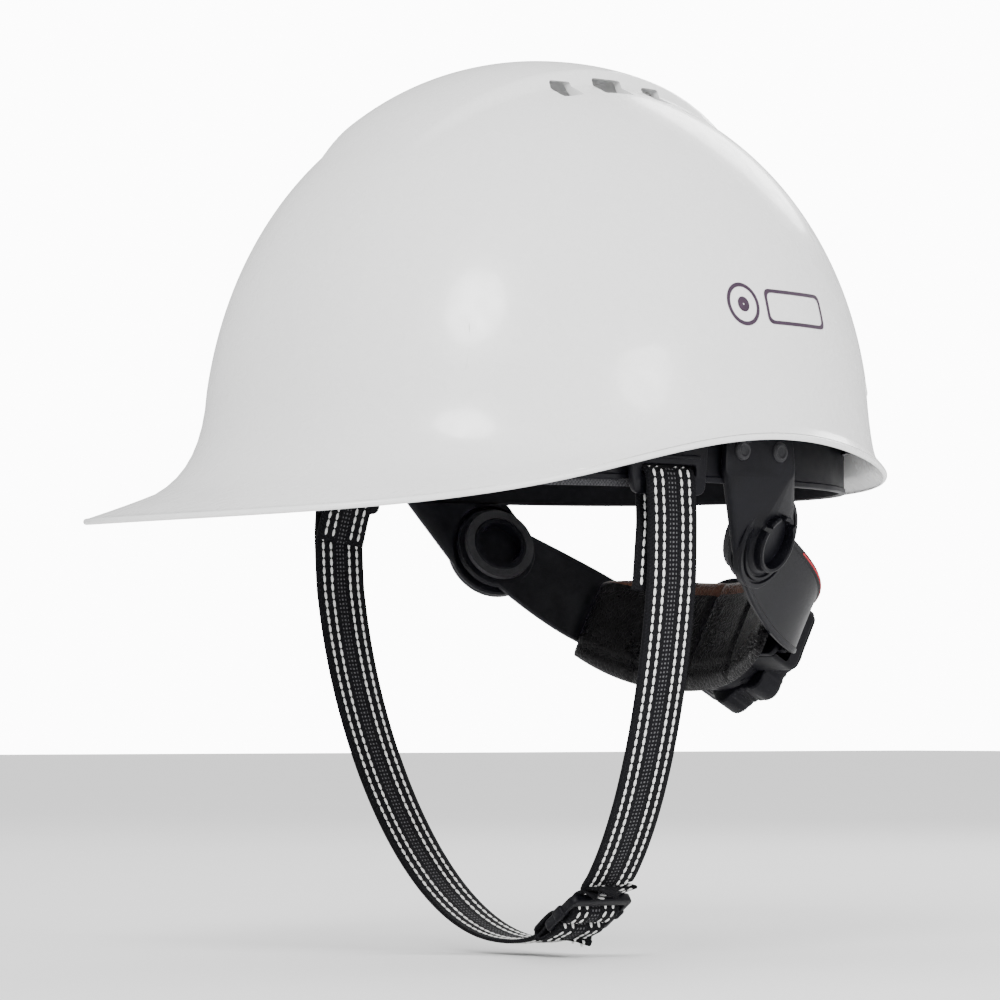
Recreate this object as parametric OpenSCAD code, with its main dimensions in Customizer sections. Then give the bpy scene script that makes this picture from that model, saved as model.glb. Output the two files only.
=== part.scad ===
// Industrial safety helmet: vented shell with a peak, webbing cradle, headband,
// tilting nape band with a ratchet, and a chin strap with a ladder-lock buckle.
// Origin: middle of the headband where the head sits. Front is -Y, the wearer's left is +X, up is +Z.

/* [Shell] */
// Height of the crown above the head seat
crown_z = 133; // [128:1:138]
// Wall thickness of the shell
shell_wall = 2.6; // [2.2:0.1:3.2]
// Half width of the dome at its base
dome_half_w = 98; // [96:0.5:101]
// Half length of the dome at its base
dome_half_l = 111.5; // [109:0.5:114]
// Half width over the side brims
brim_half_w = 104; // [103:0.5:108]
// Half length over the rear brim
brim_half_l = 116; // [115:0.5:120]
// How far the peak stands in front of the brim
peak_reach = 43; // [38:1:50]
// Height of the crown ridge above the dome
ridge_h = 4.5; // [3:0.5:6]
// Half width of the crown ridge
ridge_half_w = 35; // [30:1:38]

/* [Headband] */
// Half width of the headband
band_half_w = 80; // [76:0.5:82]
// Half length of the headband
band_half_l = 101; // [98:0.5:101.5]
// Height of the headband
band_h = 30; // [26:1:34]
// Thickness of the headband
band_t = 2; // [1.6:0.1:2.4]

/* [Nape band] */
// Height of the nape arms
arm_h = 24; // [20:1:26]
// Thickness of the nape arms
arm_t = 2.2; // [1.8:0.1:2.6]
// Radius of the hole through each side boss
boss_hole_r = 7.9; // [6:0.1:8.2]
// Radius of the ratchet knob
knob_r = 21.5; // [19:0.5:22]

/* [Chin strap] */
// Width of the webbing
web_w = 20; // [15:1:20]
// Thickness of the webbing
web_t = 1.3; // [1:0.1:1.6]
// Half width of the strap's loop
loop_half_w = 82; // [81:0.5:84]
// Drop of the strap below the head seat
loop_drop = 147.5; // [140:0.5:152]

/* [Hidden] */
$fn = 48;

// Plan shapes are superellipses about a centre on the Y axis
dome_power = 2.15;
// Dome profile powers: 1 and 1 give a plain ellipse
round_r = 0.96;
round_z = 0.94;
dome_y = -4;
band_power = 2.3;
band_y = 1.5;
band_z0 = -2.5;
peak_half_angle = 75;
shell_sides = 60;
dome_rings = 11;
shell_lip = 1.8;
ridge_front = -78;
ridge_rear = 66;

// Side bosses: centre of each plate's outer face, turned to the rear and down
boss_x = 69.5;
boss_y = 33;
boss_z = -19.5;
boss_turn = 17;
boss_dip = 20;
plate_t = 2.6;
boss_wall = 1.7;
boss_len = 4.5;
hole_depth = 8.6;
flange_r = 16;
spigot_r = 9.4;
spigot_len = 6.6;
spigot_recess = 3.6;
eye_r = 14.2;
arm_gap = 1;
arm_sweep = 1.4;
eye_room = 9;
pocket_lap = 0.3;
arm_fall = 32;
arm_room = 31;
eye_clear = 0.5;

// Ratchet: local frame on the nape, Y out of the back, Z up along the pad
nape_y = 76;
nape_z = -46.5;
nape_dip = 28;
house_w = 68;
house_end_h = 22;
house_r = 18.5;
house_depth = 11;
rack_t = 2;
rack_len = 44;
rack_room = 20;
pinion_pitch_r = 5;
pinion_teeth = 10;
tooth_pitch = 2 * PI * pinion_pitch_r / pinion_teeth;

// Webbing anchors
anchor_y = -20;
anchor_turn = 4;
hinge_y = -21;
hinge_z = -9;

function power_sum(a, b, n, t) = pow(abs(sin(t)) / a, n) + pow(abs(cos(t)) / b, n);
// Radius of a superellipse at angle t from the front
function plan_r(a, b, n, t) = pow(power_sum(a, b, n, t), -1 / n);
function fold(t) = t > 180 ? 360 - t : t;
function peak(t) = fold(t) < peak_half_angle ? pow(cos(fold(t) * 90 / peak_half_angle), 2) : 0;
function rim_z(t) = 0.5 - 8.2 * cos(t) - 9.2 * cos(2 * t) + 0.4 * cos(3 * t) + 1.4 * cos(4 * t);
function dome_r(t, inset) = plan_r(dome_half_w - inset, dome_half_l - inset, dome_power, t);
function brim_r(t) = plan_r(brim_half_w, brim_half_l, dome_power, t) + peak_reach * peak(t);
function base_z(t) = rim_z(t) + 8 + 12 * peak(t);
// A point at angle t, radius r and height z about the dome's centre
function around(t, r, z) = [r * sin(t), dome_y - r * cos(t), z];
// Dome profile: s runs from 0 at the crown to 90 at the base
function dome_point(t, s, inset) = around(t, dome_r(t, inset) * pow(sin(s), round_r),
    base_z(t) + (crown_z - inset - base_z(t)) * pow(cos(s), round_z));
function brim_point(t, s, drop) = let(r0 = dome_r(t, 0), r1 = brim_r(t))
    around(t, r0 + (r1 - r0) * s, base_z(t) + (rim_z(t) - base_z(t)) * pow(s, 0.75) - drop);

function shell_rings() = let(k = 90 / dome_rings) [
    for (i = [1 : dome_rings]) [for (j = [0 : shell_sides - 1]) dome_point(j * 360 / shell_sides, i * k, 0)],
    for (s = [0.35, 0.7, 1]) [for (j = [0 : shell_sides - 1]) brim_point(j * 360 / shell_sides, s, 0)],
    for (s = [1, 0.6, 0.2]) [for (j = [0 : shell_sides - 1]) brim_point(j * 360 / shell_sides, s, shell_lip)],
    for (i = [dome_rings : -1 : 1])
        [for (j = [0 : shell_sides - 1]) dome_point(j * 360 / shell_sides, i * k, shell_wall)]
];

// Closes a stack of rings with the same number of points; the ends are fans about two poles
module ring_solid(rings, first_pole, last_pole) {
    n = len(rings[0]);
    m = len(rings);
    points = [first_pole, for (ring = rings) each ring, last_pole];
    faces = [
        for (j = [0 : n - 1]) [0, 1 + (j + 1) % n, 1 + j],
        for (i = [0 : m - 2], j = [0 : n - 1]) let(a = 1 + i * n, b = a + n, k = (j + 1) % n)
            each [[a + j, a + k, b + k], [a + j, b + k, b + j]],
        for (j = [0 : n - 1]) [m * n + 1, 1 + (m - 1) * n + j, 1 + (m - 1) * n + (j + 1) % n]
    ];
    polyhedron(points, faces, convexity = 8);
}

function middle(points) = [for (k = [0 : 2]) sum([for (p = points) p[k]]) / len(points)];
function sum(list, i = 0) = i < len(list) ? list[i] + sum(list, i + 1) : 0;
function reversed(list) = [for (i = [len(list) - 1 : -1 : 0]) list[i]];
// True when the rings already run the way round that faces outward
function faces_out(rings) = let(a = rings[0])
    cross(a[1] - a[0], a[2] - a[1]) * (middle(rings[1]) - middle(a)) < 0;

// Closes a stack of rings with flat ends
module loft(stack) {
    rings = faces_out(stack) ? stack : [for (ring = stack) reversed(ring)];
    n = len(rings[0]);
    m = len(rings);
    points = [for (ring = rings) each ring];
    faces = [
        [for (j = [n - 1 : -1 : 0]) j],
        for (i = [0 : m - 2], j = [0 : n - 1]) let(a = i * n, b = a + n, k = (j + 1) % n)
            each [[a + j, a + k, b + k], [a + j, b + k, b + j]],
        [for (j = [0 : n - 1]) (m - 1) * n + j]
    ];
    polyhedron(points, faces, convexity = 8);
}

// Height of the dome over a point
function dome_z(x, y, inset) = let(
    dy = dome_y - y,
    r = sqrt(x * x + dy * dy),
    t = atan2(abs(x), dy),
    s = asin(min(1, pow(r / dome_r(t, inset), 1 / round_r))))
    base_z(t) + (crown_z - inset - base_z(t)) * pow(cos(s), round_z);

// Crown ridge: widest and tallest in the middle, running out into the dome at both ends
ridge_steps = 14;
ridge_shoulder = 3;
ridge_root = 5;

function ridge_share(y) = pow(sin(180 * (y - ridge_front) / (ridge_rear - ridge_front)), 0.5);
function ridge_w(y, g) = g + ridge_half_w * (0.62 + 0.38 * ridge_share(y));
function ridge_lift(y, g) = (ridge_h + 1.2) * ridge_share(y) - 1.2 + g;

// Cross-section of the ridge at one station, grown outward by g
function ridge_ring(y, g) = let(
    w = ridge_w(y, g),
    lift = ridge_lift(y, g),
    top = [for (k = [-1, -0.6, -0.25, 0.25, 0.6, 1]) [k * (w - ridge_shoulder), y,
        dome_z(k * (w - ridge_shoulder), y, 0) + lift]])
    [[-w, y, dome_z(w, y, 0) - ridge_root], [-w, y, dome_z(w, y, 0) + lift - 1.6], each top,
     [w, y, dome_z(w, y, 0) + lift - 1.6], [w, y, dome_z(w, y, 0) - ridge_root]];

module ridge(g) {
    loft([for (i = [0 : ridge_steps]) let(span = ridge_rear - ridge_front + 2 * g - 8,
        y = ridge_front - g + 4 + span * i / ridge_steps) ridge_ring(y, g)]);
}

key_angles = [32, 90, 146, 214, 270, 328];
socket_w = 24;
socket_d = 1;
socket_reach = 8;
socket_h = 15;
socket_z0 = 29;
key_w = 17;
key_t = 2;
key_foot_z = 18;
// Distance from the dome's centre to the flat of a key
function key_r(t) = dome_r(t, shell_wall) - 6.4;

module at_key(t) {
    translate([0, dome_y, 0]) rotate([0, 0, t]) translate([0, -key_r(t), 0]) children();
}

// Vents along each side of the ridge: middle and length of each
vent_places = [[-24, 8], [-5, 12], [14, 8]];
vent_h = 4.6;
vent_drop = 5;
vent_depth = 14;

module shell() {
    color("white") difference() {
        union() {
            ring_solid(shell_rings(), [0, dome_y, crown_z], [0, dome_y, crown_z - shell_wall]);
            difference() {
                ridge(0);
                inner_dome(shell_wall);
            }
            intersection() {
                inner_dome(1);
                union() for (t = key_angles) at_key(t)
                    translate([-socket_w / 2, -socket_reach, socket_z0])
                        cube([socket_w, socket_d + socket_reach, socket_h]);
            }
        }
        ridge(-shell_wall);
        for (t = key_angles) at_key(t)
            translate([-key_w / 2 - 0.3, -key_t / 2 - 0.2, socket_z0 - 1]) cube([key_w + 0.6, key_t + 0.4, 14]);
        for (v = vent_places, side = [-1, 1])
            translate([side * ridge_half_w - vent_depth / 2, v[0] - v[1] / 2,
                dome_z(ridge_half_w, v[0], 0) - vent_drop]) cube([vent_depth, v[1], vent_h]);
    }
}

module inner_dome(inset) {
    rings = [for (i = [1 : dome_rings]) [for (j = [0 : shell_sides - 1])
        dome_point(j * 360 / shell_sides, i * 90 / dome_rings, inset)]];
    ring_solid(rings, [0, dome_y, crown_z - inset], [0, dome_y, 0]);
}

module suspension_keys() {
    w = key_w / 2;
    color("dimgray") for (t = key_angles) at_key(t) union() {
        rotate([90, 0, 0]) linear_extrude(key_t, center = true)
            polygon([[-w - 3, 10], [w + 3, 10], [w + 3, 22], [w, 24], [w, 37], [w - 2, 38],
                     [2 - w, 38], [-w, 37], [-w, 24], [-w - 3, 22]]);
        translate([-5, key_t / 2 - 0.5, key_foot_z]) cube([10, key_r(t) - key_foot_r(t) - key_t / 2 + 0.5, 3]);
    }
}

// Radius of the headband's outer face about the dome's centre
function key_foot_r(t) = let(r = plan_r(band_half_w, band_half_l, band_power, t))
    r - (band_y - dome_y) * cos(t) + 0.2;

// A point of the headband's plan, moved out by d
function band_point(t, d) = let(r = plan_r(band_half_w + d, band_half_l + d, band_power, t))
    [r * sin(t), band_y - r * cos(t)];

module band_ring(inner, outer, z0, h, sides = 72) {
    translate([0, 0, z0]) linear_extrude(h) difference() {
        polygon([for (i = [0 : sides - 1]) band_point(i * 360 / sides, outer)]);
        polygon([for (i = [0 : sides - 1]) band_point(i * 360 / sides, inner)]);
    }
}

// Everything inside the headband's outer face, over its height
module band_room(sides = 72) {
    translate([0, 0, band_z0 - 0.1]) linear_extrude(band_h + 10)
        polygon([for (i = [0 : sides - 1]) band_point(i * 360 / sides, 0.06)]);
}

module headband() {
    color("black") band_ring(-band_t, 0, band_z0, band_h);
}

sweat_angle = 78;
sweat_t = 3.2;

module sweatband() {
    steps = 36;
    color("darkslategray") translate([0, 0, band_z0 - 2]) linear_extrude(band_h + 4) polygon([
        for (i = [0 : steps]) band_point(-sweat_angle + 2 * sweat_angle * i / steps, -band_t - 0.1),
        for (i = [steps : -1 : 0]) band_point(-sweat_angle + 2 * sweat_angle * i / steps, -band_t - sweat_t)
    ]);
}

// A flat strip swept through stations of [centre, across, out, width]
module tapered_strip(stations, thickness) {
    loft([for (s = stations) let(a = s[1] * s[3] / 2, o = s[2] * thickness / 2)
        [s[0] - a - o, s[0] + a - o, s[0] + a + o, s[0] - a + o]]);
}

module strip(stations, width, thickness) {
    tapered_strip([for (s = stations) [s[0], s[1], s[2], width]], thickness);
}

// Crown webbing: from key to key over the head, on three levels where they cross
strap_top_z = 101;
strap_start_z = 28.2;
crown_web_w = 18;
crown_web_t = 1.2;

function crown_path(t0, t1, lift, steps = 20) = let(
    p0 = around(t0, key_r(t0) - key_t / 2 - crown_web_t / 2 - 0.05, strap_start_z),
    p1 = around(t1, key_r(t1) - key_t / 2 - crown_web_t / 2 - 0.05, strap_start_z),
    mid = (p0 + p1) / 2)
    [for (i = [0 : steps]) let(a = 180 * i / steps, e = (p1 - p0) / 2)
        mid - e * cos(a) + [0, 0, (strap_top_z + lift - strap_start_z) * pow(sin(a), 0.72)]];

module crown_strap(t0, t1, lift) {
    path = crown_path(t0, t1, lift);
    n = len(path) - 1;
    side = unit(cross([0, 0, 1], path[n] - path[0]));
    color("lightgray") strip([for (i = [0 : n]) let(
        tangent = unit(path[min(n, i + 1)] - path[max(0, i - 1)]))
        [path[i], side, cross(tangent, side)]], crown_web_w, crown_web_t);
}

function unit(v) = v / norm(v);

module crown_strap_front() crown_strap(32, 214, 0);
module crown_strap_middle() crown_strap(90, 270, 4);
module crown_strap_rear() crown_strap(146, 328, 2);

// Frame of a side boss: X out of the plate, Z up along it; side is 1 on the left, -1 on the right
module boss_frame(side) {
    mirror([side < 0 ? 1 : 0, 0, 0])
        translate([boss_x, boss_y, boss_z]) rotate([0, boss_dip, boss_turn]) children();
}

module disc_x(r, x0, length) {
    translate([x0, 0, 0]) rotate([0, 90, 0]) cylinder(r = r, h = length, $fn = 64);
}

module side_plate(side) {
    color("black") difference() {
        union() {
            boss_frame(side) disc_x(flange_r, -plate_t, plate_t);
            difference() {
                plate_wing(side);
                band_room();
                boss_frame(side) rotate([-arm_fall, 0, 0]) hull() {
                    rotate([7.5, 0, 0]) translate([-plate_t - eye_room, 0, 0]) rotate([0, 90, 0])
                        cylinder(r = eye_r + arm_sweep, h = eye_room + pocket_lap, $fn = 24);
                    translate([-plate_t - eye_room, arm_room, -arm_room / 2])
                        cube([eye_room + pocket_lap, 1, arm_room]);
                }
            }
            boss_frame(side) disc_x(boss_hole_r + boss_wall, -1, boss_len + 1);
            boss_frame(side) disc_x(spigot_r, -plate_t - spigot_len, spigot_len + 1);
        }
        boss_frame(side) disc_x(boss_hole_r, boss_len - hole_depth, hole_depth + 1);
        boss_frame(side) disc_x(spigot_r - 2, -plate_t - spigot_len - 1, spigot_recess + 1);
    }
}

// The plate's upper part: lies on the headband and slopes in to the boss
wing_angle = 102;
wing_w = 32;

module plate_wing(side) {
    p = band_point(wing_angle, 0.15);
    hull() {
        mirror([side < 0 ? 1 : 0, 0, 0]) translate([p[0], p[1], 0]) rotate([0, 0, wing_angle - 99])
            rotate([90, 0, 90]) linear_extrude(plate_t) polygon([[-wing_w / 2, -1], [wing_w / 2, -1],
                [wing_w / 2 - 1, 13], [wing_w / 2 - 5, 17], [5 - wing_w / 2, 17], [1 - wing_w / 2, 13]]);
        boss_frame(side) disc_x(flange_r - 0.5, -plate_t, plate_t - 0.3);
    }
}

module side_plate_left() side_plate(1);
module side_plate_right() side_plate(-1);

rivet_angles = [96, 108];

module plate_rivets() {
    color("gray") for (side = [-1, 1], t = rivet_angles)
        mirror([side < 0 ? 1 : 0, 0, 0]) let(p = band_point(t, 0))
            translate([p[0], p[1], 8]) rotate([0, 0, wing_angle - 99]) {
                disc_x(1.6, -1.5, 4.7);
                disc_x(3, 3.1, 1);
            }
}

// Webbing anchors: trapezoid plates outside the headband, with a slot for the loop
anchor_t = 2.2;
anchor_x = 80.3;

module anchor_frame(side) {
    mirror([side < 0 ? 1 : 0, 0, 0])
        translate([anchor_x, anchor_y, 0]) rotate([0, 0, -anchor_turn]) children();
}

module strap_anchor(side) {
    color("black") anchor_frame(side) rotate([90, 0, 90]) linear_extrude(anchor_t) difference() {
        hull() {
            translate([-12, -5]) circle(2);
            translate([12, -5]) circle(2);
            translate([-14, 14]) circle(2);
            translate([14, 14]) circle(2);
        }
        translate([-10.5, -1]) square([21, 3.4]);
    }
    color("black") anchor_frame(side) for (y = [-9, 9])
        translate([-1.5, y - 2.5, 8]) cube([1.6, 5, 5]);
}

module strap_anchor_left() strap_anchor(1);
module strap_anchor_right() strap_anchor(-1);

// The webbing folded through the anchor's slot
loop_t = 1.0;

module strap_loop(side) {
    outer = anchor_t + 0.1;
    color("black") anchor_frame(side) difference() {
        translate([-0.2 - loop_t, -web_w / 2, -8.4]) cube([outer + 2 * loop_t + 0.2, web_w, 10.2]);
        translate([-0.2, -web_w / 2 - 1, -7.1]) cube([outer + 0.2, web_w + 2, 6.2]);
        translate([-3, -web_w / 2 - 1, 1]) cube([3, web_w + 2, 4]);
        translate([outer, -web_w / 2 - 1, 1]) cube([3, web_w + 2, 4]);
    }
}

module strap_loop_left() strap_loop(1);
module strap_loop_right() strap_loop(-1);

// Snap collar that holds the nape arm on the boss
collar_len = 2;
collar_x0 = -plate_t - 2 * arm_gap - arm_t - collar_len;

module boss_collar(side) {
    color("dimgray") boss_frame(side) difference() {
        disc_x(spigot_r + 2.8, collar_x0, collar_len);
        disc_x(spigot_r, collar_x0 - 1, collar_len + 2);
    }
}

module boss_collar_left() boss_collar(1);
module boss_collar_right() boss_collar(-1);

// Frame of the ratchet on the nape
module nape_frame() {
    translate([0, nape_y, nape_z]) rotate([-nape_dip, 0, 0]) children();
}

function nape_out() = [0, cos(nape_dip), -sin(nape_dip)];
function nape_up() = [0, sin(nape_dip), cos(nape_dip)];
function boss_out() = [cos(boss_turn) * cos(boss_dip), sin(boss_turn) * cos(boss_dip), -sin(boss_dip)];
function boss_up() = [sin(boss_dip) * cos(boss_turn), sin(boss_dip) * sin(boss_turn), cos(boss_dip)];
function boss_centre() = [boss_x, boss_y, boss_z] - boss_out() * (plate_t + arm_gap + arm_t / 2);
function nape_point(x, y, z) = [x, nape_y, nape_z] + nape_out() * y + nape_up() * z;

// Arm route: from the eye on the boss, down and round to the mouth of the housing
arm_end_x = 27;
arm_end_h = 17;
arm_swell = 6;
arm_steps = 12;

function bezier(a, b, c, d, s) =
    a * pow(1 - s, 3) + 3 * b * s * pow(1 - s, 2) + 3 * c * s * s * (1 - s) + d * pow(s, 3);
function arm_point(s) = let(
    along = unit(cross([0, 0, 1], boss_out())),
    a = boss_centre() + along * 5 - boss_up() * 4,
    d = nape_point(arm_end_x + 8, 0, 0))
    bezier(a, a + along * 19 - boss_up() * 14, d + [15, 0, 0] + nape_up() * 1.5, d, s);
// The arm lies flat behind the plate, then twists to face the nape
function arm_twist(s) = let(k = max(0, (s - 0.22) / 0.78)) k * k * (3 - 2 * k);
function arm_out(s) = unit(boss_out() * (1 - arm_twist(s)) + nape_out() * arm_twist(s));
function arm_station(s) = let(
    tangent = unit(arm_point(min(1, s + 0.02)) - arm_point(max(0, s - 0.02))),
    across = unit(cross(arm_out(s), tangent)))
    [arm_point(s), across, cross(tangent, across),
     arm_h + (arm_end_h - arm_h) * pow(s, 2) + arm_swell * sin(180 * s)];

module nape_arm(side) {
    color("black") difference() {
        union() {
            mirror([side < 0 ? 1 : 0, 0, 0])
                tapered_strip([for (i = [0 : arm_steps]) arm_station(i / arm_steps)], arm_t);
            mirror([side < 0 ? 1 : 0, 0, 0]) nape_frame()
                translate([arm_end_x, -arm_t / 2, -arm_end_h / 2]) cube([8.2, arm_t, arm_end_h]);
            boss_frame(side) disc_x(eye_r, -plate_t - arm_gap - arm_t, arm_t);
        }
        boss_frame(side) disc_x(spigot_r + eye_clear, -10, 12);
    }
}

module nape_arm_left() nape_arm(1);
module nape_arm_right() nape_arm(-1);

// Pad on the inside of the nape
pad_half_w = 47;
pad_h = 42;
pad_t = 5;
pad_drop = 4.5;

module nape_pad() {
    steps = 14;
    color("saddlebrown") loft([for (i = [0 : steps]) let(
        x = -pad_half_w + 2 * pad_half_w * i / steps,
        sag = -x * x / 150,
        y0 = base_y + sag,
        h = pad_h * (1 - 0.3 * pow(abs(x) / pad_half_w, 3)))
        [nape_point(x, y0, -h / 2 - pad_drop), nape_point(x, y0, h / 2 - pad_drop),
         nape_point(x, y0 - pad_t, h / 2 - 2 - pad_drop), nape_point(x, y0 - pad_t, 2 - h / 2 - pad_drop)]]);
}

// Housing: an inner plate against the pad and an outer cover
base_y = -arm_t / 2 - 2.4;

module house_outline() {
    square([house_w, house_end_h], center = true);
    circle(r = house_r, $fn = 96);
}

// Extrudes a plan of the nape frame outward from y0
module nape_slab(y0, depth) {
    translate([0, y0 + depth, 0]) rotate([90, 0, 0]) linear_extrude(depth) children();
}

module nape_hole(r, y0, depth) {
    translate([0, y0, 0]) rotate([-90, 0, 0]) cylinder(r = r, h = depth, $fn = 48);
}

screw_x = 9.5;
screw_z = 12.6;
screw_r = 1.2;
screw_head_r = 2.1;

module at_screws() {
    for (x = [-1, 1], z = [-1, 1]) translate([x * screw_x, 0, z * screw_z]) children();
}

module ratchet_base() {
    color("black") nape_frame() difference() {
        nape_slab(base_y, 2) house_outline();
        at_screws() nape_hole(screw_r, -10, 20);
    }
}

cover_y0 = base_y + 2;
shaft_r = 3;

module ratchet_cover() {
    color("black") nape_frame() difference() {
        nape_slab(cover_y0, house_depth) house_outline();
        translate([-house_w / 2 - 1, cover_y0 - 1, -rack_room / 2]) cube([house_w + 2, 6.4, rack_room]);
        nape_hole(10.2, cover_y0 - 1, 8.6);
        nape_hole(shaft_r + 0.08, -1, 30);
        at_screws() nape_hole(screw_r, -10, 40);
        at_screws() nape_hole(screw_head_r + 0.1, cover_y0 + house_depth - 2, 4);
    }
}

module housing_screws() {
    color("silver") nape_frame() at_screws() {
        nape_hole(screw_r - 0.05, base_y + 0.2, house_depth + cover_y0 - base_y - 2);
        nape_hole(screw_head_r, cover_y0 + house_depth - 1.9, 1.4);
    }
}

// Ratchet mechanism: two racks either side of a pinion
rack_y0 = arm_t / 2 + 0.3;

module rack(side) {
    teeth = 10;
    line = pinion_pitch_r + 0.15;
    color("dimgray") mirror([side < 0 ? 1 : 0, 0, 0]) nape_frame() mirror([0, 0, side < 0 ? 1 : 0])
        translate([0, rack_y0 + rack_t, 0]) rotate([90, 0, 0]) linear_extrude(rack_t) union() {
            translate([-12, line + 1.1]) square([rack_len, 3.4]);
            for (i = [0 : teeth - 1]) translate([-11 + (i + 0.5) * tooth_pitch, line + 1.2])
                polygon([[-0.95, 0], [0.95, 0], [0.4, -2], [-0.4, -2]]);
        }
}

module rack_left() rack(1);
module rack_right() rack(-1);

module pinion() {
    color("silver") nape_frame() translate([0, rack_y0 + rack_t, 0]) rotate([90, 0, 0]) {
        linear_extrude(rack_t) union() {
            circle(r = pinion_pitch_r - 1.2, $fn = 64);
            for (i = [0 : pinion_teeth - 1]) rotate((i + 0.5) * 360 / pinion_teeth)
                translate([0, pinion_pitch_r - 1.4]) polygon([[-0.75, 0], [0.75, 0], [0.35, 2.1], [-0.35, 2.1]]);
        }
    }
    color("silver") nape_frame() translate([0, rack_y0 + rack_t - 0.01, 0]) rotate([-90, 0, 0])
        cylinder(r = shaft_r, h = knob_y0 - rack_y0 - rack_t + 4, $fn = 64);
}

knob_y0 = cover_y0 + house_depth + 0.6;
knob_len = 10;
knob_lobes = 8;

module detent_spring() {
    color("silver") nape_frame() translate([0, rack_y0 + rack_t + 0.5, 0]) rotate([-90, 0, 0]) difference() {
        cylinder(r = 9.6, h = 1.2, $fn = 64);
        translate([0, 0, -1]) cylinder(r = 7.6, h = 4, $fn = 64);
        translate([-2, -20, -1]) cube([4, 20, 4]);
    }
}

module knob() {
    color("black") nape_frame() translate([0, knob_y0, 0]) rotate([-90, 0, 0]) difference() {
        linear_extrude(knob_len) polygon([for (i = [0 : 95]) let(a = i * 3.75,
            r = knob_r - 1.6 + 1.6 * cos(knob_lobes * a)) [r * cos(a), r * sin(a)]]);
        translate([0, 0, -1]) cylinder(r = shaft_r + 0.02, h = 5.6, $fn = 64);
        translate([0, 0, -1]) cylinder(r = 1.6, h = 30, $fn = 32);
        translate([0, 0, knob_len - 2]) cylinder(r = 3.4, h = 4, $fn = 32);
    }
}

module knob_screw() {
    color("silver") nape_frame() translate([0, knob_y0, 0]) rotate([-90, 0, 0]) {
        translate([0, 0, 4.7]) cylinder(r = 1.5, h = knob_len - 6.7, $fn = 32);
        translate([0, 0, knob_len - 2]) cylinder(r = 3.2, h = 1.5, $fn = 32);
    }
}

// Chin strap: half an ellipse hanging from the anchors; a is 0 at the left anchor and 180 at the right
strap_top_x = 85.3;
loop_power = 0.94;
loop_lean = 12;
buckle_angle = 68;
buckle_gap = 4;

function strap_point(a) = let(w = loop_half_w + (strap_top_x - loop_half_w) * pow(abs(cos(a)), 6))
    [w * sign(cos(a)) * pow(abs(cos(a)), loop_power), hinge_y + loop_lean * pow(sin(a), 2),
     hinge_z - (loop_drop + hinge_z) * sin(a)];
function strap_station(a) = let(
    tangent = unit(strap_point(a + 0.5) - strap_point(a - 0.5)),
    across = unit([0, 1, 0] - tangent * tangent[1]))
    [strap_point(a), across, cross(tangent, across)];

module chin_strap(a0, a1) {
    steps = 16;
    strip([for (i = [0 : steps]) strap_station(a0 + (a1 - a0) * i / steps)], web_w, web_t);
}

module strap_end(side) {
    mirror([side < 0 ? 1 : 0, 0, 0]) translate([strap_top_x - web_t / 2, hinge_y, hinge_z])
        rotate([0, 90, 0]) cylinder(r = web_w / 2, h = web_t);
}

module chin_strap_left() {
    color("black") union() {
        chin_strap(0, buckle_angle - buckle_gap);
        strap_end(1);
    }
}

module chin_strap_right() {
    color("black") union() {
        chin_strap(buckle_angle + buckle_gap, 180);
        strap_end(-1);
    }
}

// Ladder-lock buckle at the left end of the bottom of the loop
buckle_w = 25;
buckle_len = 18;
buckle_t = 3.2;

module buckle() {
    p = strap_point(buckle_angle);
    q = strap_point(buckle_angle + 1) - strap_point(buckle_angle - 1);
    color("black") translate(p) rotate([0, -atan2(q[2], q[0]), 0]) difference() {
        union() {
            translate([-buckle_len / 2, -buckle_w / 2, -buckle_t / 2]) cube([buckle_len, buckle_w, buckle_t]);
            translate([-buckle_len / 2 - 5, -6, -buckle_t / 2 - 0.8]) cube([6, 12, 1.8]);
        }
        for (x = [-5.6, 2.2]) translate([x, -web_w / 2 - 0.5, -5]) cube([3.4, web_w + 1, 10]);
    }
}

shell();
suspension_keys();
crown_strap_front();
crown_strap_middle();
crown_strap_rear();
headband();
sweatband();
side_plate_left();
side_plate_right();
plate_rivets();
strap_anchor_left();
strap_anchor_right();
strap_loop_left();
strap_loop_right();
boss_collar_left();
boss_collar_right();
nape_arm_left();
nape_arm_right();
nape_pad();
ratchet_base();
ratchet_cover();
housing_screws();
detent_spring();
rack_left();
rack_right();
pinion();
knob();
knob_screw();
chin_strap_right();
chin_strap_left();
buckle();
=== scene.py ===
"""Looks of an industrial safety helmet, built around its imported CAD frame.

Shapes are worked out in millimetres and degrees with the CAD model's own formulas, and scaled to metres
when a mesh is made. Front is -Y, the wearer's left is +X, and the origin is the middle of the headband.
"""
import math

import bmesh
import bpy
from mathutils import Matrix, Vector


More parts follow.
